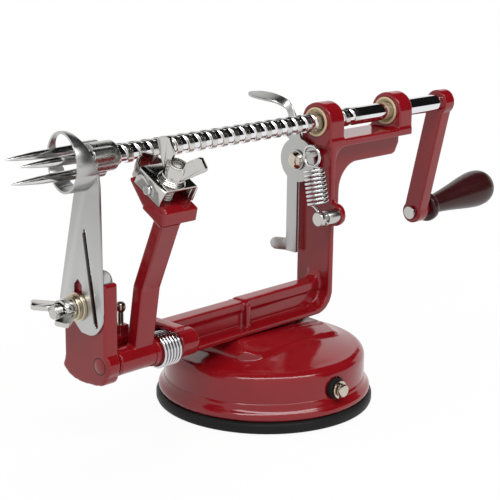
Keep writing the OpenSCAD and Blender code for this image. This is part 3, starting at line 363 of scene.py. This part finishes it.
enamel = Finish(bpy.data.materials.new("red_enamel"))
enamel_film = noise(enamel, (55, 55, 55), detail=2)
enamel_peel = noise(enamel, (420, 420, 420), detail=2)
red_enamel = surface(enamel, {
    "Base Color": mixed(enamel, enamel_film, (0.205, 0.003, 0.006, 1), (0.27, 0.006, 0.011, 1)),
    "Roughness": 0.1 + 0.09 * enamel_peel,
    "Normal": bumped(enamel, enamel_peel * 0.4 + enamel_film, 0.05, 0.0003),
    "Coat Weight": 0.1, "Coat Roughness": 0.05, "IOR": 1.45})
dome_top, dome_curve, pad_rear, pad_fade, pad_side = 0.035, 0.358, 0.021, 0.018, 0.04
base_casting = cast("base_shell", "base_casting", cell=0.8, passes=9, keep=0.5)
# The pad under the beam fades into the dome at its rear.
for point in base_casting.data.vertices:
    dome = dome_top - (point.co.x ** 2 + point.co.y ** 2) / dome_curve
    if abs(point.co.y) < pad_side:
        point.co.z -= max(0, point.co.z - dome) * eased_step((point.co.x - pad_rear) / pad_fade)
dressed(base_casting, red_enamel, "base", "red_enamel", "base_shell")
lip_flare = [(50.5, 14.5), (51.2, 14), (51.5, 12.5), (52.0, 11.2), (52.9, 10.2), (53.6, 9.4), (53.95, 8.4),
             (53.9, 7.2), (53.4, 6.4), (50.5, 6.2)]
dressed(turned("base_lip", lip_flare, (0, 0, 0), (0, 0, 1), closed=True, count=160, sharp=60),
        red_enamel, "base", "red_enamel", "base_shell")


# Through the base runs the cam's axle, a plated steel bar with a black bush and a spring clip
# where it leaves the wall. A red pressed lever on its far end turns it.
def bright_plate(name, tint, low, high):
    """Bright plating on steel, with faint handling haze from low to high roughness."""
    plate = Finish(bpy.data.materials.new(name))
    haze = noise(plate, (140, 140, 140), detail=4)
    return surface(plate, {
        "Base Color": mixed(plate, haze, tint, tuple(c * 0.9 for c in tint[:3]) + (1,)),
        "Metallic": 1.0, "Roughness": low + (high - low) * haze})


warm_nickel = bright_plate("warm_nickel", (0.58, 0.52, 0.44, 1), 0.08, 0.2)
axle_x, axle_z, axle_wall, axle_slim = -0.003, 0.018, -0.0505, 0.88
cam_bar = eased("cam_axle", "cam_bar", 0.6)
for point in cam_bar.data.vertices:
    if point.co.y < axle_wall:
        point.co.x = axle_x + (point.co.x - axle_x) * axle_slim
        point.co.z = axle_z + (point.co.z - axle_z) * axle_slim
dressed(cam_bar, warm_nickel, "suction", "chrome", "cam_axle")
dressed(eased("axle_bush", "axle_sleeve", 0.5), moulded_rubber, "base", "rubber", "axle_bush")
dressed(eased("axle_clip", "axle_ring", 0.15), warm_nickel, "suction", "steel", "axle_clip")
dressed(eased("suction_lever", "suction_handle", 1.2, segments=3),
        red_enamel, "suction", "red_enamel", "suction_lever")


# The frame is one casting: end plate, beam with its rail and web, post, and the top arm with
# the two bearing lugs. Two screws hold it down on the base from inside.
bend_x, bend_z, bend_r, post_x, arm_z = 50.1, 115.9, 9.5, 39.5, 126.4
arm_corner = [(post_x, arm_z), (bend_x, arm_z)]
for k in range(10):
    turn = math.radians(10 * k)
    arm_corner.append((bend_x - bend_r * math.sin(turn), bend_z + bend_r * math.cos(turn)))
arm_corner.append((post_x, bend_z))
end_corner = [(12, 47), (14.4, 46), (14.9, 44), (15.5, 42.6), (15.9, 41.4), (15.5, 40.4), (12, 37.6),
              (8, 36.3), (4, 35.9), (0, 35.9), (-4, 36.2), (-8, 36.6), (-8, 41)]
frame_fillets = [[[(x, y, z) for x, z in arm_corner] for y in (-9.9, 12)],
                 [[(x, y, z) for y, z in end_corner] for x in (-116.7, -109)]]
dressed(cast("frame", "frame_casting", cell=0.6, passes=8, keep=0.5, fillets=frame_fillets),
        red_enamel, "base", "red_enamel", "frame")
dressed(eased("frame_screws", "frame_bolts", 0.3), plain_steel, "base", "steel", "frame_screws")


# Each lug holds a tan bearing bush of sintered bronze, pressed in from the front.
# Its face is a little proud of the lug and the shaft turns and slides in it.
bronze = Finish(bpy.data.materials.new("sintered_bronze"))
bronze_pores = noise(bronze, (1200, 1200, 1200))
sintered_bronze = surface(bronze, {
    "Base Color": mixed(bronze, bronze_pores, (0.58, 0.44, 0.26, 1), (0.78, 0.64, 0.43, 1)),
    "Metallic": 0.4, "Roughness": 0.36 + 0.2 * bronze_pores,
    "Normal": bumped(bronze, bronze_pores, 0.1, 0.0001)})
axis_z = 138
bush_profile = [(4.87, 11.8), (4.87, 0.9), (5.3, 0.55), (6.1, -0.3), (6.35, -0.7), (6.6, -0.79),
                (7.15, -0.79), (7.42, -0.6), (7.42, -0.05), (6.72, -0.05), (6.72, 11.6), (6.5, 11.8)]
for node, lug_x in (("front_bush", 36), ("rear_bush", 92)):
    dressed(turned(node + "_sleeve", bush_profile, (lug_x, 0, axis_z), (1, 0, 0), closed=True),
            sintered_bronze, "bushes", "bronze", node)


# The lead screw is a 9.5 mm plated bar with a coarse right-hand thread: broad worn lands that
# keep fine tool marks, and smooth grooves half a lead wide. Behind the thread it runs plain.
shaft_r, lead, groove_depth, groove_share, flank_share = 4.73, 7.4, 0.85, 0.5, 0.1
tooth_x, thread_front, thread_rear, plain_end, shaft_end = 33.8, -99.5, 66, 137.1, 145.1
tip_end, tip_r, seat_r = -106, 2.6, 3.7


def thread_radius(turn, x):
    """Radius of the thread at a share of a turn round the bar and a place along it."""
    share = (x - tooth_x) / lead - turn
    share -= round(share)
    run_out = eased_step((thread_rear - x) / 5) * eased_step((x - thread_front) / 2)
    flank = eased_step(((groove_share + flank_share) / 2 - abs(share)) / flank_share)
    return shaft_r - groove_depth * run_out * flank


def place_along(finish, axis):
    """How far along X, Y or Z a place on a piece is, in metres."""
    return finish.node("ShaderNodeSeparateXYZ", {}, {0: coords(finish)}, out=axis)


sides, pitch_rows = 60, 30
thread_rows = round((thread_rear - thread_front) / lead * pitch_rows)
screw_rings = []
for x, radius in ((tip_end, tip_r), (thread_front - 0.1, tip_r), (thread_front - 0.05, shaft_r - 0.43)):
    screw_rings.append([(x, radius)] * sides)
for row in range(thread_rows + 1):
    x = thread_front + (thread_rear - thread_front) * row / thread_rows
    screw_rings.append([(x, thread_radius(k / sides - 0.25, x)) for k in range(sides)])
for x, radius in ((thread_rear + 0.5, shaft_r), (100, shaft_r), (plain_end - 0.4, shaft_r),
                  (plain_end, shaft_r - 0.4), (plain_end, seat_r), (shaft_end - 0.5, seat_r),
                  (shaft_end, seat_r - 0.5)):
    screw_rings.append([(x, radius)] * sides)
screw_rings = [[(x * mm, radius * math.sin(math.tau * k / sides) * mm,
                 (axis_z - radius * math.cos(math.tau * k / sides)) * mm)
                for k, (x, radius) in enumerate(ring)] for ring in screw_rings]
plated = Finish(bpy.data.materials.new("plated_screw"))
along, across = place_along(plated, "X"), place_along(plated, "Y")
above = place_along(plated, "Z") - axis_z * mm
from_axis = plated.node("ShaderNodeMath", {"operation": "SQRT"}, {0: across * across + above * above})
land = ramped(plated, from_axis, (shaft_r - 0.5) * mm, (shaft_r - 0.15) * mm)
tool_marks = noise(plated, (2600, 30, 30), detail=2)
screw_haze = noise(plated, (140, 140, 140), detail=4)
threaded = ramped(plated, along, (thread_rear + 2) * mm, (thread_rear - 4) * mm)
plated_screw = surface(plated, {
    "Base Color": mixed(plated, land * threaded, (0.78, 0.78, 0.80, 1), (0.66, 0.65, 0.62, 1)),
    "Metallic": 1.0, "Roughness": 0.05 + 0.06 * screw_haze + 0.16 * land * threaded,
    "Normal": bumped(plated, tool_marks * land * threaded, 0.35, 0.00025)})
dressed(skinned("thread_bar", screw_rings), plated_screw, "shaft", "chrome", "lead_screw")


# The fork: a rough plated casting with three lobes on the screw's end, and three ground steel
# prongs pressed into it, thicker toward the hub and drawn to a point.
cast_zinc = Finish(bpy.data.materials.new("rough_casting"))
zinc_lumps = noise(cast_zinc, (420, 420, 420), detail=4, rough=0.6)
rough_casting = surface(cast_zinc, {
    "Base Color": mixed(cast_zinc, zinc_lumps, (0.42, 0.42, 0.41, 1), (0.62, 0.62, 0.61, 1)),
    "Metallic": 1.0, "Roughness": 0.16 + 0.22 * zinc_lumps,
    "Normal": bumped(cast_zinc, zinc_lumps, 0.14, 0.0004)})
dressed(cast("fork_hub", "fork_block", cell=0.3, passes=5, keep=0.6),
        rough_casting, "shaft", "cast_metal", "fork_hub")
ground = Finish(bpy.data.materials.new("ground_steel"))
ground_rings = noise(ground, (900, 60, 60), detail=3)
ground_steel = surface(ground, {
    "Base Color": mixed(ground, ground_rings, (0.62, 0.61, 0.60, 1), (0.76, 0.76, 0.76, 1)),
    "Metallic": 1.0, "Roughness": 0.1 + 0.1 * ground_rings,
    "Normal": bumped(ground, ground_rings, 0.1, 0.0001)})
prong_circle, prong_turn = 6.1, 38
prong_profile = [(0.01, -153), (0.22, -152.9), (0.36, -152.4), (1.0, -148), (1.75, -139.6), (1.84, -138.6),
                 (2.5, -116), (2.5, -107.1), (0.01, -107)]
for k in range(3):
    angle = math.radians(120 * k + prong_turn)
    foot = (0, prong_circle * math.cos(angle), axis_z + prong_circle * math.sin(angle))
    dressed(turned(f"prong_{k + 1}", prong_profile, foot, (1, 0, 0), count=40, sharp=50),
            ground_steel, "shaft", "chrome", "fork_prongs")


# The crank is a red casting keyed on the screw's end. A steel spindle riveted in its lower boss
# carries the knob, turned from hardwood, stained near black and lacquered.
crank_x, crank_len, crank_lean, knob_tilt = 137, 66.8, math.radians(12.3), math.radians(4.5)
knob_foot = (crank_x, crank_len * math.sin(crank_lean), axis_z - crank_len * math.cos(crank_lean))
knob_axis = (math.cos(knob_tilt), 0, math.sin(knob_tilt))
dressed(cast("crank_arm", "crank_casting", cell=0.35, passes=12, keep=0.4),
        red_enamel, "shaft", "red_enamel", "crank_arm")
dressed(eased("knob_spindle", "knob_pin", 0.3), plain_steel, "shaft", "steel", "knob_spindle")


def rounded(points, cuts=6):
    """A smooth curve through points, with some cuts between each pair."""
    points = [Vector(point) for point in points]
    ends = [2 * points[0] - points[1]] + points + [2 * points[-1] - points[-2]]
    curve = []
    for a, b, c, d in zip(ends, ends[1:], ends[2:], ends[3:]):
        for k in range(cuts):
            t = k / cuts
            bend, twist = 2 * a - 5 * b + 4 * c - d, 3 * b - a - 3 * c + d
            curve.append(0.5 * (2 * b + (c - a) * t + bend * t * t + twist * t ** 3))
    return curve + [points[-1]]


wood = Finish(bpy.data.materials.new("stained_hardwood"))
wood_grain = noise(wood, (60, 700, 700), detail=5, rough=0.6)
wood_bands = noise(wood, (14, 160, 160), detail=2)
wood_figure = wood_grain * 0.6 + wood_bands * 0.4
stained_hardwood = surface(wood, {
    "Base Color": mixed(wood, wood_figure, (0.012, 0.002, 0.002, 1), (0.06, 0.008, 0.009, 1)),
    "Roughness": 0.28 + 0.1 * wood_grain, "Normal": bumped(wood, wood_grain, 0.04, 0.0002),
    "Coat Weight": 0.12, "Coat Roughness": 0.08, "IOR": 1.36})
knob_outline = rounded([(7.4, 11.55), (8.3, 12.3), (8.58, 14.2), (8.1, 16.4), (6.6, 17.7), (5.6, 18.8),
                        (5.35, 20.4), (5.7, 24), (6.7, 32), (8.2, 42), (9.7, 51), (10.6, 58), (10.85, 62),
                        (10.5, 66.5), (9.0, 70.3), (6.2, 72.6), (3.0, 73.2)])
knob_profile = [(2.9, 11.55)] + [(point.x, point.y) for point in knob_outline] + [(0.01, 73.28)]
dressed(turned("turned_knob", knob_profile, knob_foot, knob_axis, count=72, sharp=60),
        stained_hardwood, "handle", "wood", "knob")


# The release lever is stamped from sheet steel. Its tooth stands in the thread and drives the
# screw; a curled thumb tab on top and the foot below swing it clear, about a domed rivet.
def arc(y, z, radius, start, end, cuts=12):
    """Points (y, z) along an arc, its ends in degrees."""
    return [(y + radius * math.cos(math.radians(start + (end - start) * k / cuts)),
             z + radius * math.sin(math.radians(start + (end - start) * k / cuts))) for k in range(cuts + 1)]


def stamped(name, outlines, front, thick, ease, place=Matrix()):
    """A flat piece from outlines of (y, z) in millimetres, its edge and then any holes, with eased rims."""
    shape = bmesh.new()
    for outline in outlines:
        ring = [shape.verts.new((front * mm, y * mm, z * mm)) for y, z in outline]
        for first, second in zip(ring, ring[1:] + ring[:1]):
            shape.edges.new((first, second))
    bmesh.ops.remove_doubles(shape, verts=shape.verts, dist=1e-6)
    bmesh.ops.triangle_fill(shape, use_beauty=True, edges=shape.edges[:])
    grown = bmesh.ops.extrude_face_region(shape, geom=shape.faces[:])["geom"]
    rear = [part for part in grown if isinstance(part, bmesh.types.BMVert)]
    bmesh.ops.translate(shape, vec=(thick * mm, 0, 0), verts=rear)
    bmesh.ops.recalc_face_normals(shape, faces=shape.faces)
    rims = [edge for edge in shape.edges if edge.calc_face_angle(0) > math.radians(60)]
    bmesh.ops.bevel(shape, geom=rims, offset=ease * mm, segments=2, profile=0.5, affect="EDGES",
                    clamp_overlap=True)
    bmesh.ops.transform(shape, matrix=place, verts=shape.verts)
    return settled(name, shape, sharp=28)


stamped_steel = satin_steel("stamped_steel", (0.49, 0.49, 0.48), (420, 420, 40), 0.3)
lever_x, lever_y, lever_z, lever_r, lever_sheet, lever_rim, rivet_hole = 33, 9.9, 117.3, 11.5, 1.6, 0.22, 2.6
lever_edge = ([(9.7, 68), (16.7, 68)] + arc(lever_y, lever_z, lever_r, -53.7, 59.8, 24)
              + [(16.1, 130.5), (14.5, 133.5), (11.5, 133.5), (8.6, 131)]
              + arc(lever_y, lever_z, lever_r, 100.6, 139.2, 8) + arc(-1.6, 123.1, 2.5, 70.5, 250.5, 12)
              + arc(lever_y, lever_z, lever_r, 164.9, 269, 20))
tooth_edge = [(4.35, 137.3), (4.6, 137.1), (12.8, 137.1), (12.8, 138.9), (4.6, 138.9), (4.35, 138.7)]
foot_edge = [(0, 0), (6.8, 0)] + arc(6.8, 3.2, 3.2, -90, 90) + [(0, 6.4)]
spring_tab_edge = [(-4.4, 122.6), (-1.8, 122.6), (-1.8, 124.2), (-4.4, 124.2)]
foot_place = Matrix.Translation((0.0334, 0.0155, 0.0682)) @ Matrix.Rotation(math.radians(24), 4, "Z")
lever_parts = [
    stamped("stamped_lever", [lever_edge, arc(lever_y, lever_z, rivet_hole, 0, 337.5, 15)],
            lever_x, lever_sheet, lever_rim),
    stamped("lever_tooth", [tooth_edge], lever_x + 0.1, 1.4, 0.15),
    stamped("lever_foot", [foot_edge], 0, lever_sheet, lever_rim, foot_place),
    stamped("spring_tab", [spring_tab_edge], 26.9, 7.6, 0.25)]
tab_line = rounded([(33.8, 13.3, 128), (33.8, 13.8, 136), (33.6, 14.8, 141), (32.8, 17.2, 145),
                    (31.4, 21.5, 147.2), (30.3, 28, 148.3), (29.9, 35, 148.8), (29.9, 39.4, 148.9),
                    (29.9, 41.4, 148.9)], cuts=8)
tab_width = rounded([(8, 0, 0), (6.6, 0, 0), (3.8, 15, 0), (4.2, 45, 0), (6.4, 70, 0), (9.2, 78, 0),
                     (8.8, 80, 0), (5.6, 80, 0), (2.2, 80, 0)], cuts=8)
tab_roll = -0.17
tab_rings = []
for k, (centre, (width, twist, _)) in enumerate(zip(tab_line, tab_width)):
    ahead = (tab_line[min(k + 1, len(tab_line) - 1)] - tab_line[max(k - 1, 0)]).normalized()
    twist = math.radians(twist)
    side = Vector((-math.sin(twist), math.cos(twist), tab_roll * math.sin(twist)))
    side = (side - ahead * side.dot(ahead)).normalized()
    out = ahead.cross(side)
    rim, flat = width / 2, width / 2 - 0.35
    tab_rings.append([(centre + side * across + out * up) * mm for across, up in (
        (-rim, -0.45), (-flat, -0.75), (flat, -0.75), (rim, -0.45),
        (rim, 0.45), (flat, 0.75), (-flat, 0.75), (-rim, 0.45))])
lever_parts.append(skinned("thumb_tab", tab_rings, sharp=35))
for part in lever_parts:
    dressed(part, stamped_steel, "lever", "steel", "release_lever")
rivet_profile = [(0.01, -4.45), (1.6, -4.2), (3.0, -3.5), (4.0, -2.6), (4.55, -1.75), (4.68, -1.34),
                 (2.5, -1.3), (2.5, 7.5), (0.01, 7.55)]
dressed(turned("domed_rivet", rivet_profile, (lever_x, lever_y, lever_z), (1, 0, 0), count=48, sharp=50),
        warm_nickel, "base", "chrome", "lever_rivet")
dressed(eased("lever_washer", "rivet_washer", 0.2), plain_steel, "base", "steel", "lever_washer")


# The lever's spring is wound from bright wire, with a hook on the grooved pin below and a round
# loop on the lever's tab above. The pin is turned steel, riveted into an ear of the post.
def wire(name, path, radius, sides=10):
    """A round wire along a path in millimetres."""
    path = [Vector(point) for point in path]
    across = (path[1] - path[0]).orthogonal().normalized()
    turns = [math.tau * s / sides for s in range(sides)]
    rings = []
    for k, point in enumerate(path):
        ahead = (path[min(k + 1, len(path) - 1)] - path[max(k - 1, 0)]).normalized()
        across = (across - ahead * across.dot(ahead)).normalized()
        other = ahead.cross(across)
        rings.append([(point + (across * math.cos(turn) + other * math.sin(turn)) * radius) * mm
                      for turn in turns])
    return skinned(name, rings, sharp=60)


pin_y, pin_z, spring_x, spring_wire, coil_r, coils, coil_cuts = -13.6, 91.3, 27.6, 0.72, 4.95, 9, 24
hook_r, loop_y, loop_z, loop_r, join_cuts = 3.4, -5, 122, 5.2, 6
low, high = Vector((spring_x, pin_y + 3.5, pin_z + 6.4)), Vector((spring_x, -6.5, 116))
over = (high - low).normalized().cross(Vector((1, 0, 0)))
coil = []
for k in range(6, coils * coil_cuts - 5):
    turn = math.tau * k / coil_cuts
    round_axis = (Vector((1, 0, 0)) * math.cos(turn) + over * math.sin(turn)) * coil_r
    coil.append(low + (high - low) * k / (coils * coil_cuts) + round_axis)
hook = [Vector((spring_x, y, z)) for y, z in arc(pin_y, pin_z, hook_r, -150, 40, 27)]
loop = [Vector((spring_x, y, z)) for y, z in arc(loop_y, loop_z, loop_r, -70, 245, 40)]
hook_bend = (hook[-1] + coil[0]) / 2 + Vector((0, 0, 0.6))
down = rounded([hook[-2], hook[-1], hook_bend, coil[0], coil[1]], join_cuts)[join_cuts:-join_cuts]
loop_bend = (coil[-1] + loop[0]) / 2
up = rounded([coil[-2], coil[-1], loop_bend, loop[0], loop[1]], join_cuts)[join_cuts:-join_cuts]
lever_wire = wire("lever_coil", hook[:-1] + down + coil[1:-1] + up + loop[1:], spring_wire)
spring_plate = bright_plate("spring_plate", (0.64, 0.64, 0.65, 1), 0.05, 0.14)
dressed(lever_wire, spring_plate, None, "chrome", "lever_spring")
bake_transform(lever_wire)
pin_profile = [(0.01, 23.25), (3.3, 23.25), (3.65, 23.65), (3.65, 26.1), (3.5, 26.3), (2.4, 26.45),
               (2.4, 28.7), (3.5, 28.8), (3.65, 29.0), (3.65, 36.9), (2.65, 36.95), (2.65, 40.5),
               (0.01, 40.55)]
dressed(turned("grooved_pin", pin_profile, (0, pin_y, pin_z), (1, 0, 0), count=48),
        plain_steel, "base", "steel", "spring_pin")


# The slicer is a stainless plate ground to an edge along its slit, with a ring at its top that
# cuts the core. A slot takes the bolt, so the blade can be set and swung out of the way.
# Painted light tints the sheet: painted shade in a band just below the ring, lighter toward the foot and in
# the ring, and a painted highlight where a faint fold runs down its face.
blade_sheet = Finish(bpy.data.materials.new("blade_steel"))
blade_grain = noise(blade_sheet, (500, 500, 22), detail=4, rough=0.65)
blade_y, blade_z = place_along(blade_sheet, "Y"), place_along(blade_sheet, "Z")
fold_y, fold_z, fold_cos, fold_sin, ring_foot = -0.0034, 0.125, 0.957, 0.287, 0.124
from_fold = blade_sheet.node("ShaderNodeMath", {"operation": "ABSOLUTE"},
                             {0: fold_cos * (blade_y - fold_y) + fold_sin * (blade_z - fold_z)})
# Painted light: lighter below the ring's foot and in the ring, painted shade in the band between, and a
# painted highlight along the fold line.
painted_light_below = ramped(blade_sheet, blade_z, ring_foot, 0.085)
painted_light_in_ring = ramped(blade_sheet, blade_z, ring_foot, 0.131)
painted_fold_highlight = ramped(blade_sheet, from_fold, 0.0024, 0.0)
blade_painted_light = 0.18 + 0.47 * painted_light_below + 0.42 * painted_light_in_ring + 0.22 * painted_fold_highlight + 0.16 * blade_grain
blade_steel = surface(blade_sheet, {
    "Base Color": mixed(blade_sheet, blade_painted_light, (0.35, 0.35, 0.345, 1), (0.57, 0.57, 0.565, 1)),
    "Metallic": 1.0, "Roughness": 0.27 + 0.1 * blade_grain,
    "Normal": bumped(blade_sheet, blade_grain, 0.06, 0.00005)})
dressed(eased("slicer_blade", "corer_blade", 0.2), blade_steel, "base", "steel", "slicer_blade")
foot_patch = [(-4.9, 60.22), (0, 60.4), (6, 65.3), (3, 67.5), (-4.9, 67)]
dressed(stamped("blade_foot", [foot_patch], -118.24, 1.48, 0.2), blade_steel, "base", "steel", "slicer_blade")
# The slit's inner wall and the ground bevel round it are near-black steel: painted shade in the slit.
slit_painted_shade = satin_steel("slit_painted_shade", (0.14, 0.13, 0.13), (500, 500, 22), 0.4)
slit_y, slit_z, slit_start, slit_end, slit_cos, slit_sin = -3.3, 107, 0.6, 41.2, 0.986, 0.169
for name, inner, outer, front, thick in (("slit_wall", 0.84, 1.02, -118.15, 1.3),
                                         ("slit_bevel", 0.95, 1.6, -118.28, 0.1)):
    corners = ((inner, slit_start), (outer, slit_start), (outer, slit_end), (inner, slit_end))
    outline = [(slit_y + slit_cos * side - slit_sin * fall, slit_z - slit_sin * side - slit_cos * fall)
               for side, fall in corners]
    dressed(stamped(name, [outline], front, thick, 0.02), slit_painted_shade, "base", "steel", "slicer_blade")


# Bolts of zinc plated steel hold the slicer and the blade clamp, each with a wing nut. Their
# threads show past the nuts, and tan washers lie under the slicer's nut.
def bolt_thread(name, foot, axis, radius, start, end, head, dome=0.3, pitch=1.25, depth=0.42, sides=36):
    """A bolt along an axis: domed tip, thread from start to end, and a head's (radius, distance) profile."""
    axis = Vector(axis).normalized()
    side = axis.orthogonal().normalized()
    other = axis.cross(side)
    rows = round((end - start) * 8)
    places = [(start - dome, 0.02), (start - 0.87 * dome, 1.2), (start - 0.47 * dome, 2.2)]
    places += [(start + (end - start) * k / rows, None) for k in range(rows + 1)]
    places += [(along, plain) for plain, along in head]
    rings = []
    for along, plain in places:
        lead_in = 0.2 * max(0, 1 - (along - start) / 0.5)
        ring = []
        for k in range(sides):
            turn = math.tau * k / sides
            share = (along / pitch - k / sides) % 1
            r = radius - depth * abs(2 * share - 1) - lead_in if plain is None else plain
            outward = side * math.cos(turn) + other * math.sin(turn)
            ring.append((Vector(foot) + axis * along + outward * r) * mm)
        rings.append(ring)
    return skinned(name, rings, sharp=50)


bolt_r, bolt_y, bolt_z, bolt_end, bolt_head = 3.28, 2, 72, -132.3, -108.95
head_dome = [(3.3, bolt_head), (6.9, bolt_head), (6.85, bolt_head + 0.4), (6.2, bolt_head + 1.7),
             (4.6, bolt_head + 3.0), (2.2, bolt_head + 3.8), (0.02, bolt_head + 3.95)]
bolt_foot = (0, bolt_y, bolt_z)
dressed(bolt_thread("slicer_stud", bolt_foot, (1, 0, 0), bolt_r, bolt_end, bolt_head - 0.4, head_dome),
        plain_steel, "base", "steel", "slicer_bolt")
flat_washer = [(3.4, -120.1), (6.4, -120.1), (6.65, -119.85), (6.65, -118.55), (6.4, -118.32), (3.4, -118.32)]
lock_washer = [(3.4, -122.28), (5.6, -122.28), (5.85, -122.0), (5.85, -120.4), (5.6, -120.15), (3.4, -120.15)]
washer_plate = bright_plate("washer_plate", (0.62, 0.55, 0.42, 1), 0.18, 0.32)
for name, profile in (("flat_washer", flat_washer), ("lock_washer", lock_washer)):
    dressed(turned(name, profile, bolt_foot, (1, 0, 0), closed=True, count=48),
            washer_plate, "base", "bronze", "slicer_washer")
pressed_steel = bright_plate("pressed_steel", (0.60, 0.59, 0.56, 1), 0.1, 0.22)
dressed(eased("slicer_wing_nut", "slicer_nut", 0.45), pressed_steel, "slicer_nut", "steel", "slicer_wing_nut")


# The peeling arm is a red casting that swings on a steel pin along the beam. A coil spring
# round the pin pulls it toward the fruit, and a round-headed screw on the beam stops it.
pivot_y, pivot_z, twist_x, twist_end = -10.2, 46.4, -84.5, -73.5
twist_r, twist_wire, twists, twist_cuts = 7.9, 0.7, 6, 28
dressed(eased("pivot_pin", "arm_pin", 0.4), plain_steel, "base", "steel", "pivot_pin")
pin_end = [(0.01, -116.74), (3.5, -116.74), (3.62, -116.66), (3.62, -116), (0.01, -116)]
# A thin black ring in the rubber finish round the pin's end is painted shade in the gap between the pin and
# its hole.
pin_gap_shade = [(3.55, -116.7), (3.62, -116.73), (3.95, -116.73), (4.05, -116.5), (3.55, -116.4)]
pin_collar = [(4.2, -109.2), (6.0, -109.2), (6.0, -108.55), (4.2, -108.55)]
for name, profile, material in (("pin_end", pin_end, red_enamel), ("pin_gap_shade", pin_gap_shade, moulded_rubber),
                                ("pin_collar", pin_collar, red_enamel)):
    dressed(turned(name, profile, (0, pivot_y, pivot_z), (1, 0, 0), closed=name != "pin_end", count=48),
            material, "base", "red_enamel", "pivot_pin")
twist = [(twist_x, pivot_y + 4 - 0.5 * k, pivot_z + twist_r) for k in range(8)]
for k in range(twists * twist_cuts + 1):
    turn = math.radians(90) + math.tau * k / twist_cuts
    twist.append((twist_x + (twist_end - twist_x) * k / (twists * twist_cuts),
                  pivot_y + twist_r * math.cos(turn), pivot_z + twist_r * math.sin(turn)))
twist += [(twist_end, pivot_y - 0.5 * k, pivot_z + twist_r) for k in range(1, 9)]
arm_wire = wire("arm_coil", twist, twist_wire, sides=12)
dressed(arm_wire, spring_plate, None, "chrome", "arm_spring")
sleeve_profile = [(4.4, -88), (6.6, -88), (6.6, -77), (4.4, -77)]
dressed(turned("arm_sleeve", sleeve_profile, (0, pivot_y, pivot_z), (1, 0, 0), closed=True),
        red_enamel, "arm", "red_enamel", "peel_arm")
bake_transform(arm_wire)
head_rim = [(-34.9, 116.9), (-33.6, 111.2), (-31.3, 110.8), (-19.9, 117.2), (-21, 119), (-30, 117.3)]
head_fillet = [[(x, y, z) for y, z in head_rim] for x in (-99.65, -80.1)]
dressed(cast("peel_arm", "arm_casting", cell=0.35, passes=8, keep=0.4, fillets=[head_fillet]),
        red_enamel, "arm", "red_enamel", "peel_arm")
stop_plate = bright_plate("stop_plate", (0.40, 0.35, 0.30, 1), 0.14, 0.3)
stop_x, stop_r, stop_root, stop_pitch = -95.5, 1.45, 1.2, 0.45
stop_profile = [(0.01, 56), (stop_r, 56)]
for k in range(12):
    stop_profile += [(stop_r, 59.6 + stop_pitch * k), (stop_root, 59.8 + stop_pitch * k)]
stop_profile += [(stop_r, 65.1), (2.1, 65.9), (2.45, 67), (2.45, 68.1), (2.15, 69.1), (1.4, 69.8),
                 (0.01, 70.05)]
dressed(turned("stop_pin", stop_profile, (stop_x, 0, 0), (0, 0, 1), count=40, sharp=60),
        stop_plate, "base", "steel", "stop_screw")


# On the arm's sloping head a pressed steel channel clamps the peeling blade, a loop of steel
# strip with a ground edge. A bolt and wing nut hold the channel down, and a rivet its side.
clamp_plate = bright_plate("clamp_plate", (0.58, 0.57, 0.55, 1), 0.08, 0.2)
dressed(eased("blade_clamp", "clamp_channel", 0.25, turn=40), clamp_plate, "arm", "steel", "blade_clamp")
bright_chrome = bright_plate("bright_chrome", (0.80, 0.80, 0.81, 1), 0.04, 0.14)
dressed(eased("clamp_rivet", "channel_rivet", 0.35), bright_chrome, "arm", "chrome", "clamp_rivet")
edge_steel = Finish(bpy.data.materials.new("ground_strip"))
edge_grain = noise(edge_steel, (60, 500, 500), detail=4)
ground_strip = surface(edge_steel, {
    "Base Color": mixed(edge_steel, edge_grain, (0.36, 0.31, 0.27, 1), (0.52, 0.48, 0.44, 1)),
    "Metallic": 1.0, "Roughness": 0.2 + 0.12 * edge_grain,
    "Normal": bumped(edge_steel, edge_grain, 0.06, 0.00005)})
dressed(eased("peel_blade", "blade_loop", 0.15), ground_strip, "arm", "steel", "peel_blade")
slope, elbow = math.radians(29), Vector((0, -31.5, 116.6))
head_up = Vector((0, -math.sin(slope), math.cos(slope)))
stud_x, stud_along = -91, 8
stud_foot = elbow + Vector((stud_x, 0, 0)) + Vector((0, math.cos(slope), math.sin(slope))) * stud_along
hex_head = [(2.6, 4.85), (4.7, 4.85), (5.0, 5.2), (5.0, 7.7), (4.6, 8.0), (0.02, 8.05)]
filed_end = satin_steel("filed_end", (0.50, 0.50, 0.46), (300, 300, 300), 0.45)
dressed(bolt_thread("clamp_stud", stud_foot, -head_up, bolt_r, start=-19.3, end=4.4, head=hex_head, dome=1.1),
        filed_end, "arm", "steel", "clamp_bolt")
dressed(eased("clamp_wing_nut", "clamp_nut_wings", 0.45),
        pressed_steel, "clamp_nut", "steel", "clamp_wing_nut")
nut_foot = [(3.5, 10.75), (6.1, 10.75), (6.4, 11.0), (6.2, 11.35), (5.7, 11.5), (5.95, 11.8), (5.7, 12.1),
            (5.35, 12.2), (5.6, 12.5), (5.35, 12.8), (5.05, 12.9), (5.25, 13.2), (5.0, 13.7), (3.5, 13.7)]
nut_crown = [(3.4, 19.0), (4.75, 19.2), (4.7, 19.55), (4.3, 19.85), (3.8, 20.0), (3.4, 20.0)]
for name, profile, material in (("clamp_nut_foot", nut_foot, pressed_steel),
                                ("clamp_nut_crown", nut_crown, filed_end)):
    dressed(turned(name, profile, stud_foot, head_up, closed=True, sharp=60),
            material, "clamp_nut", "steel", "clamp_wing_nut")
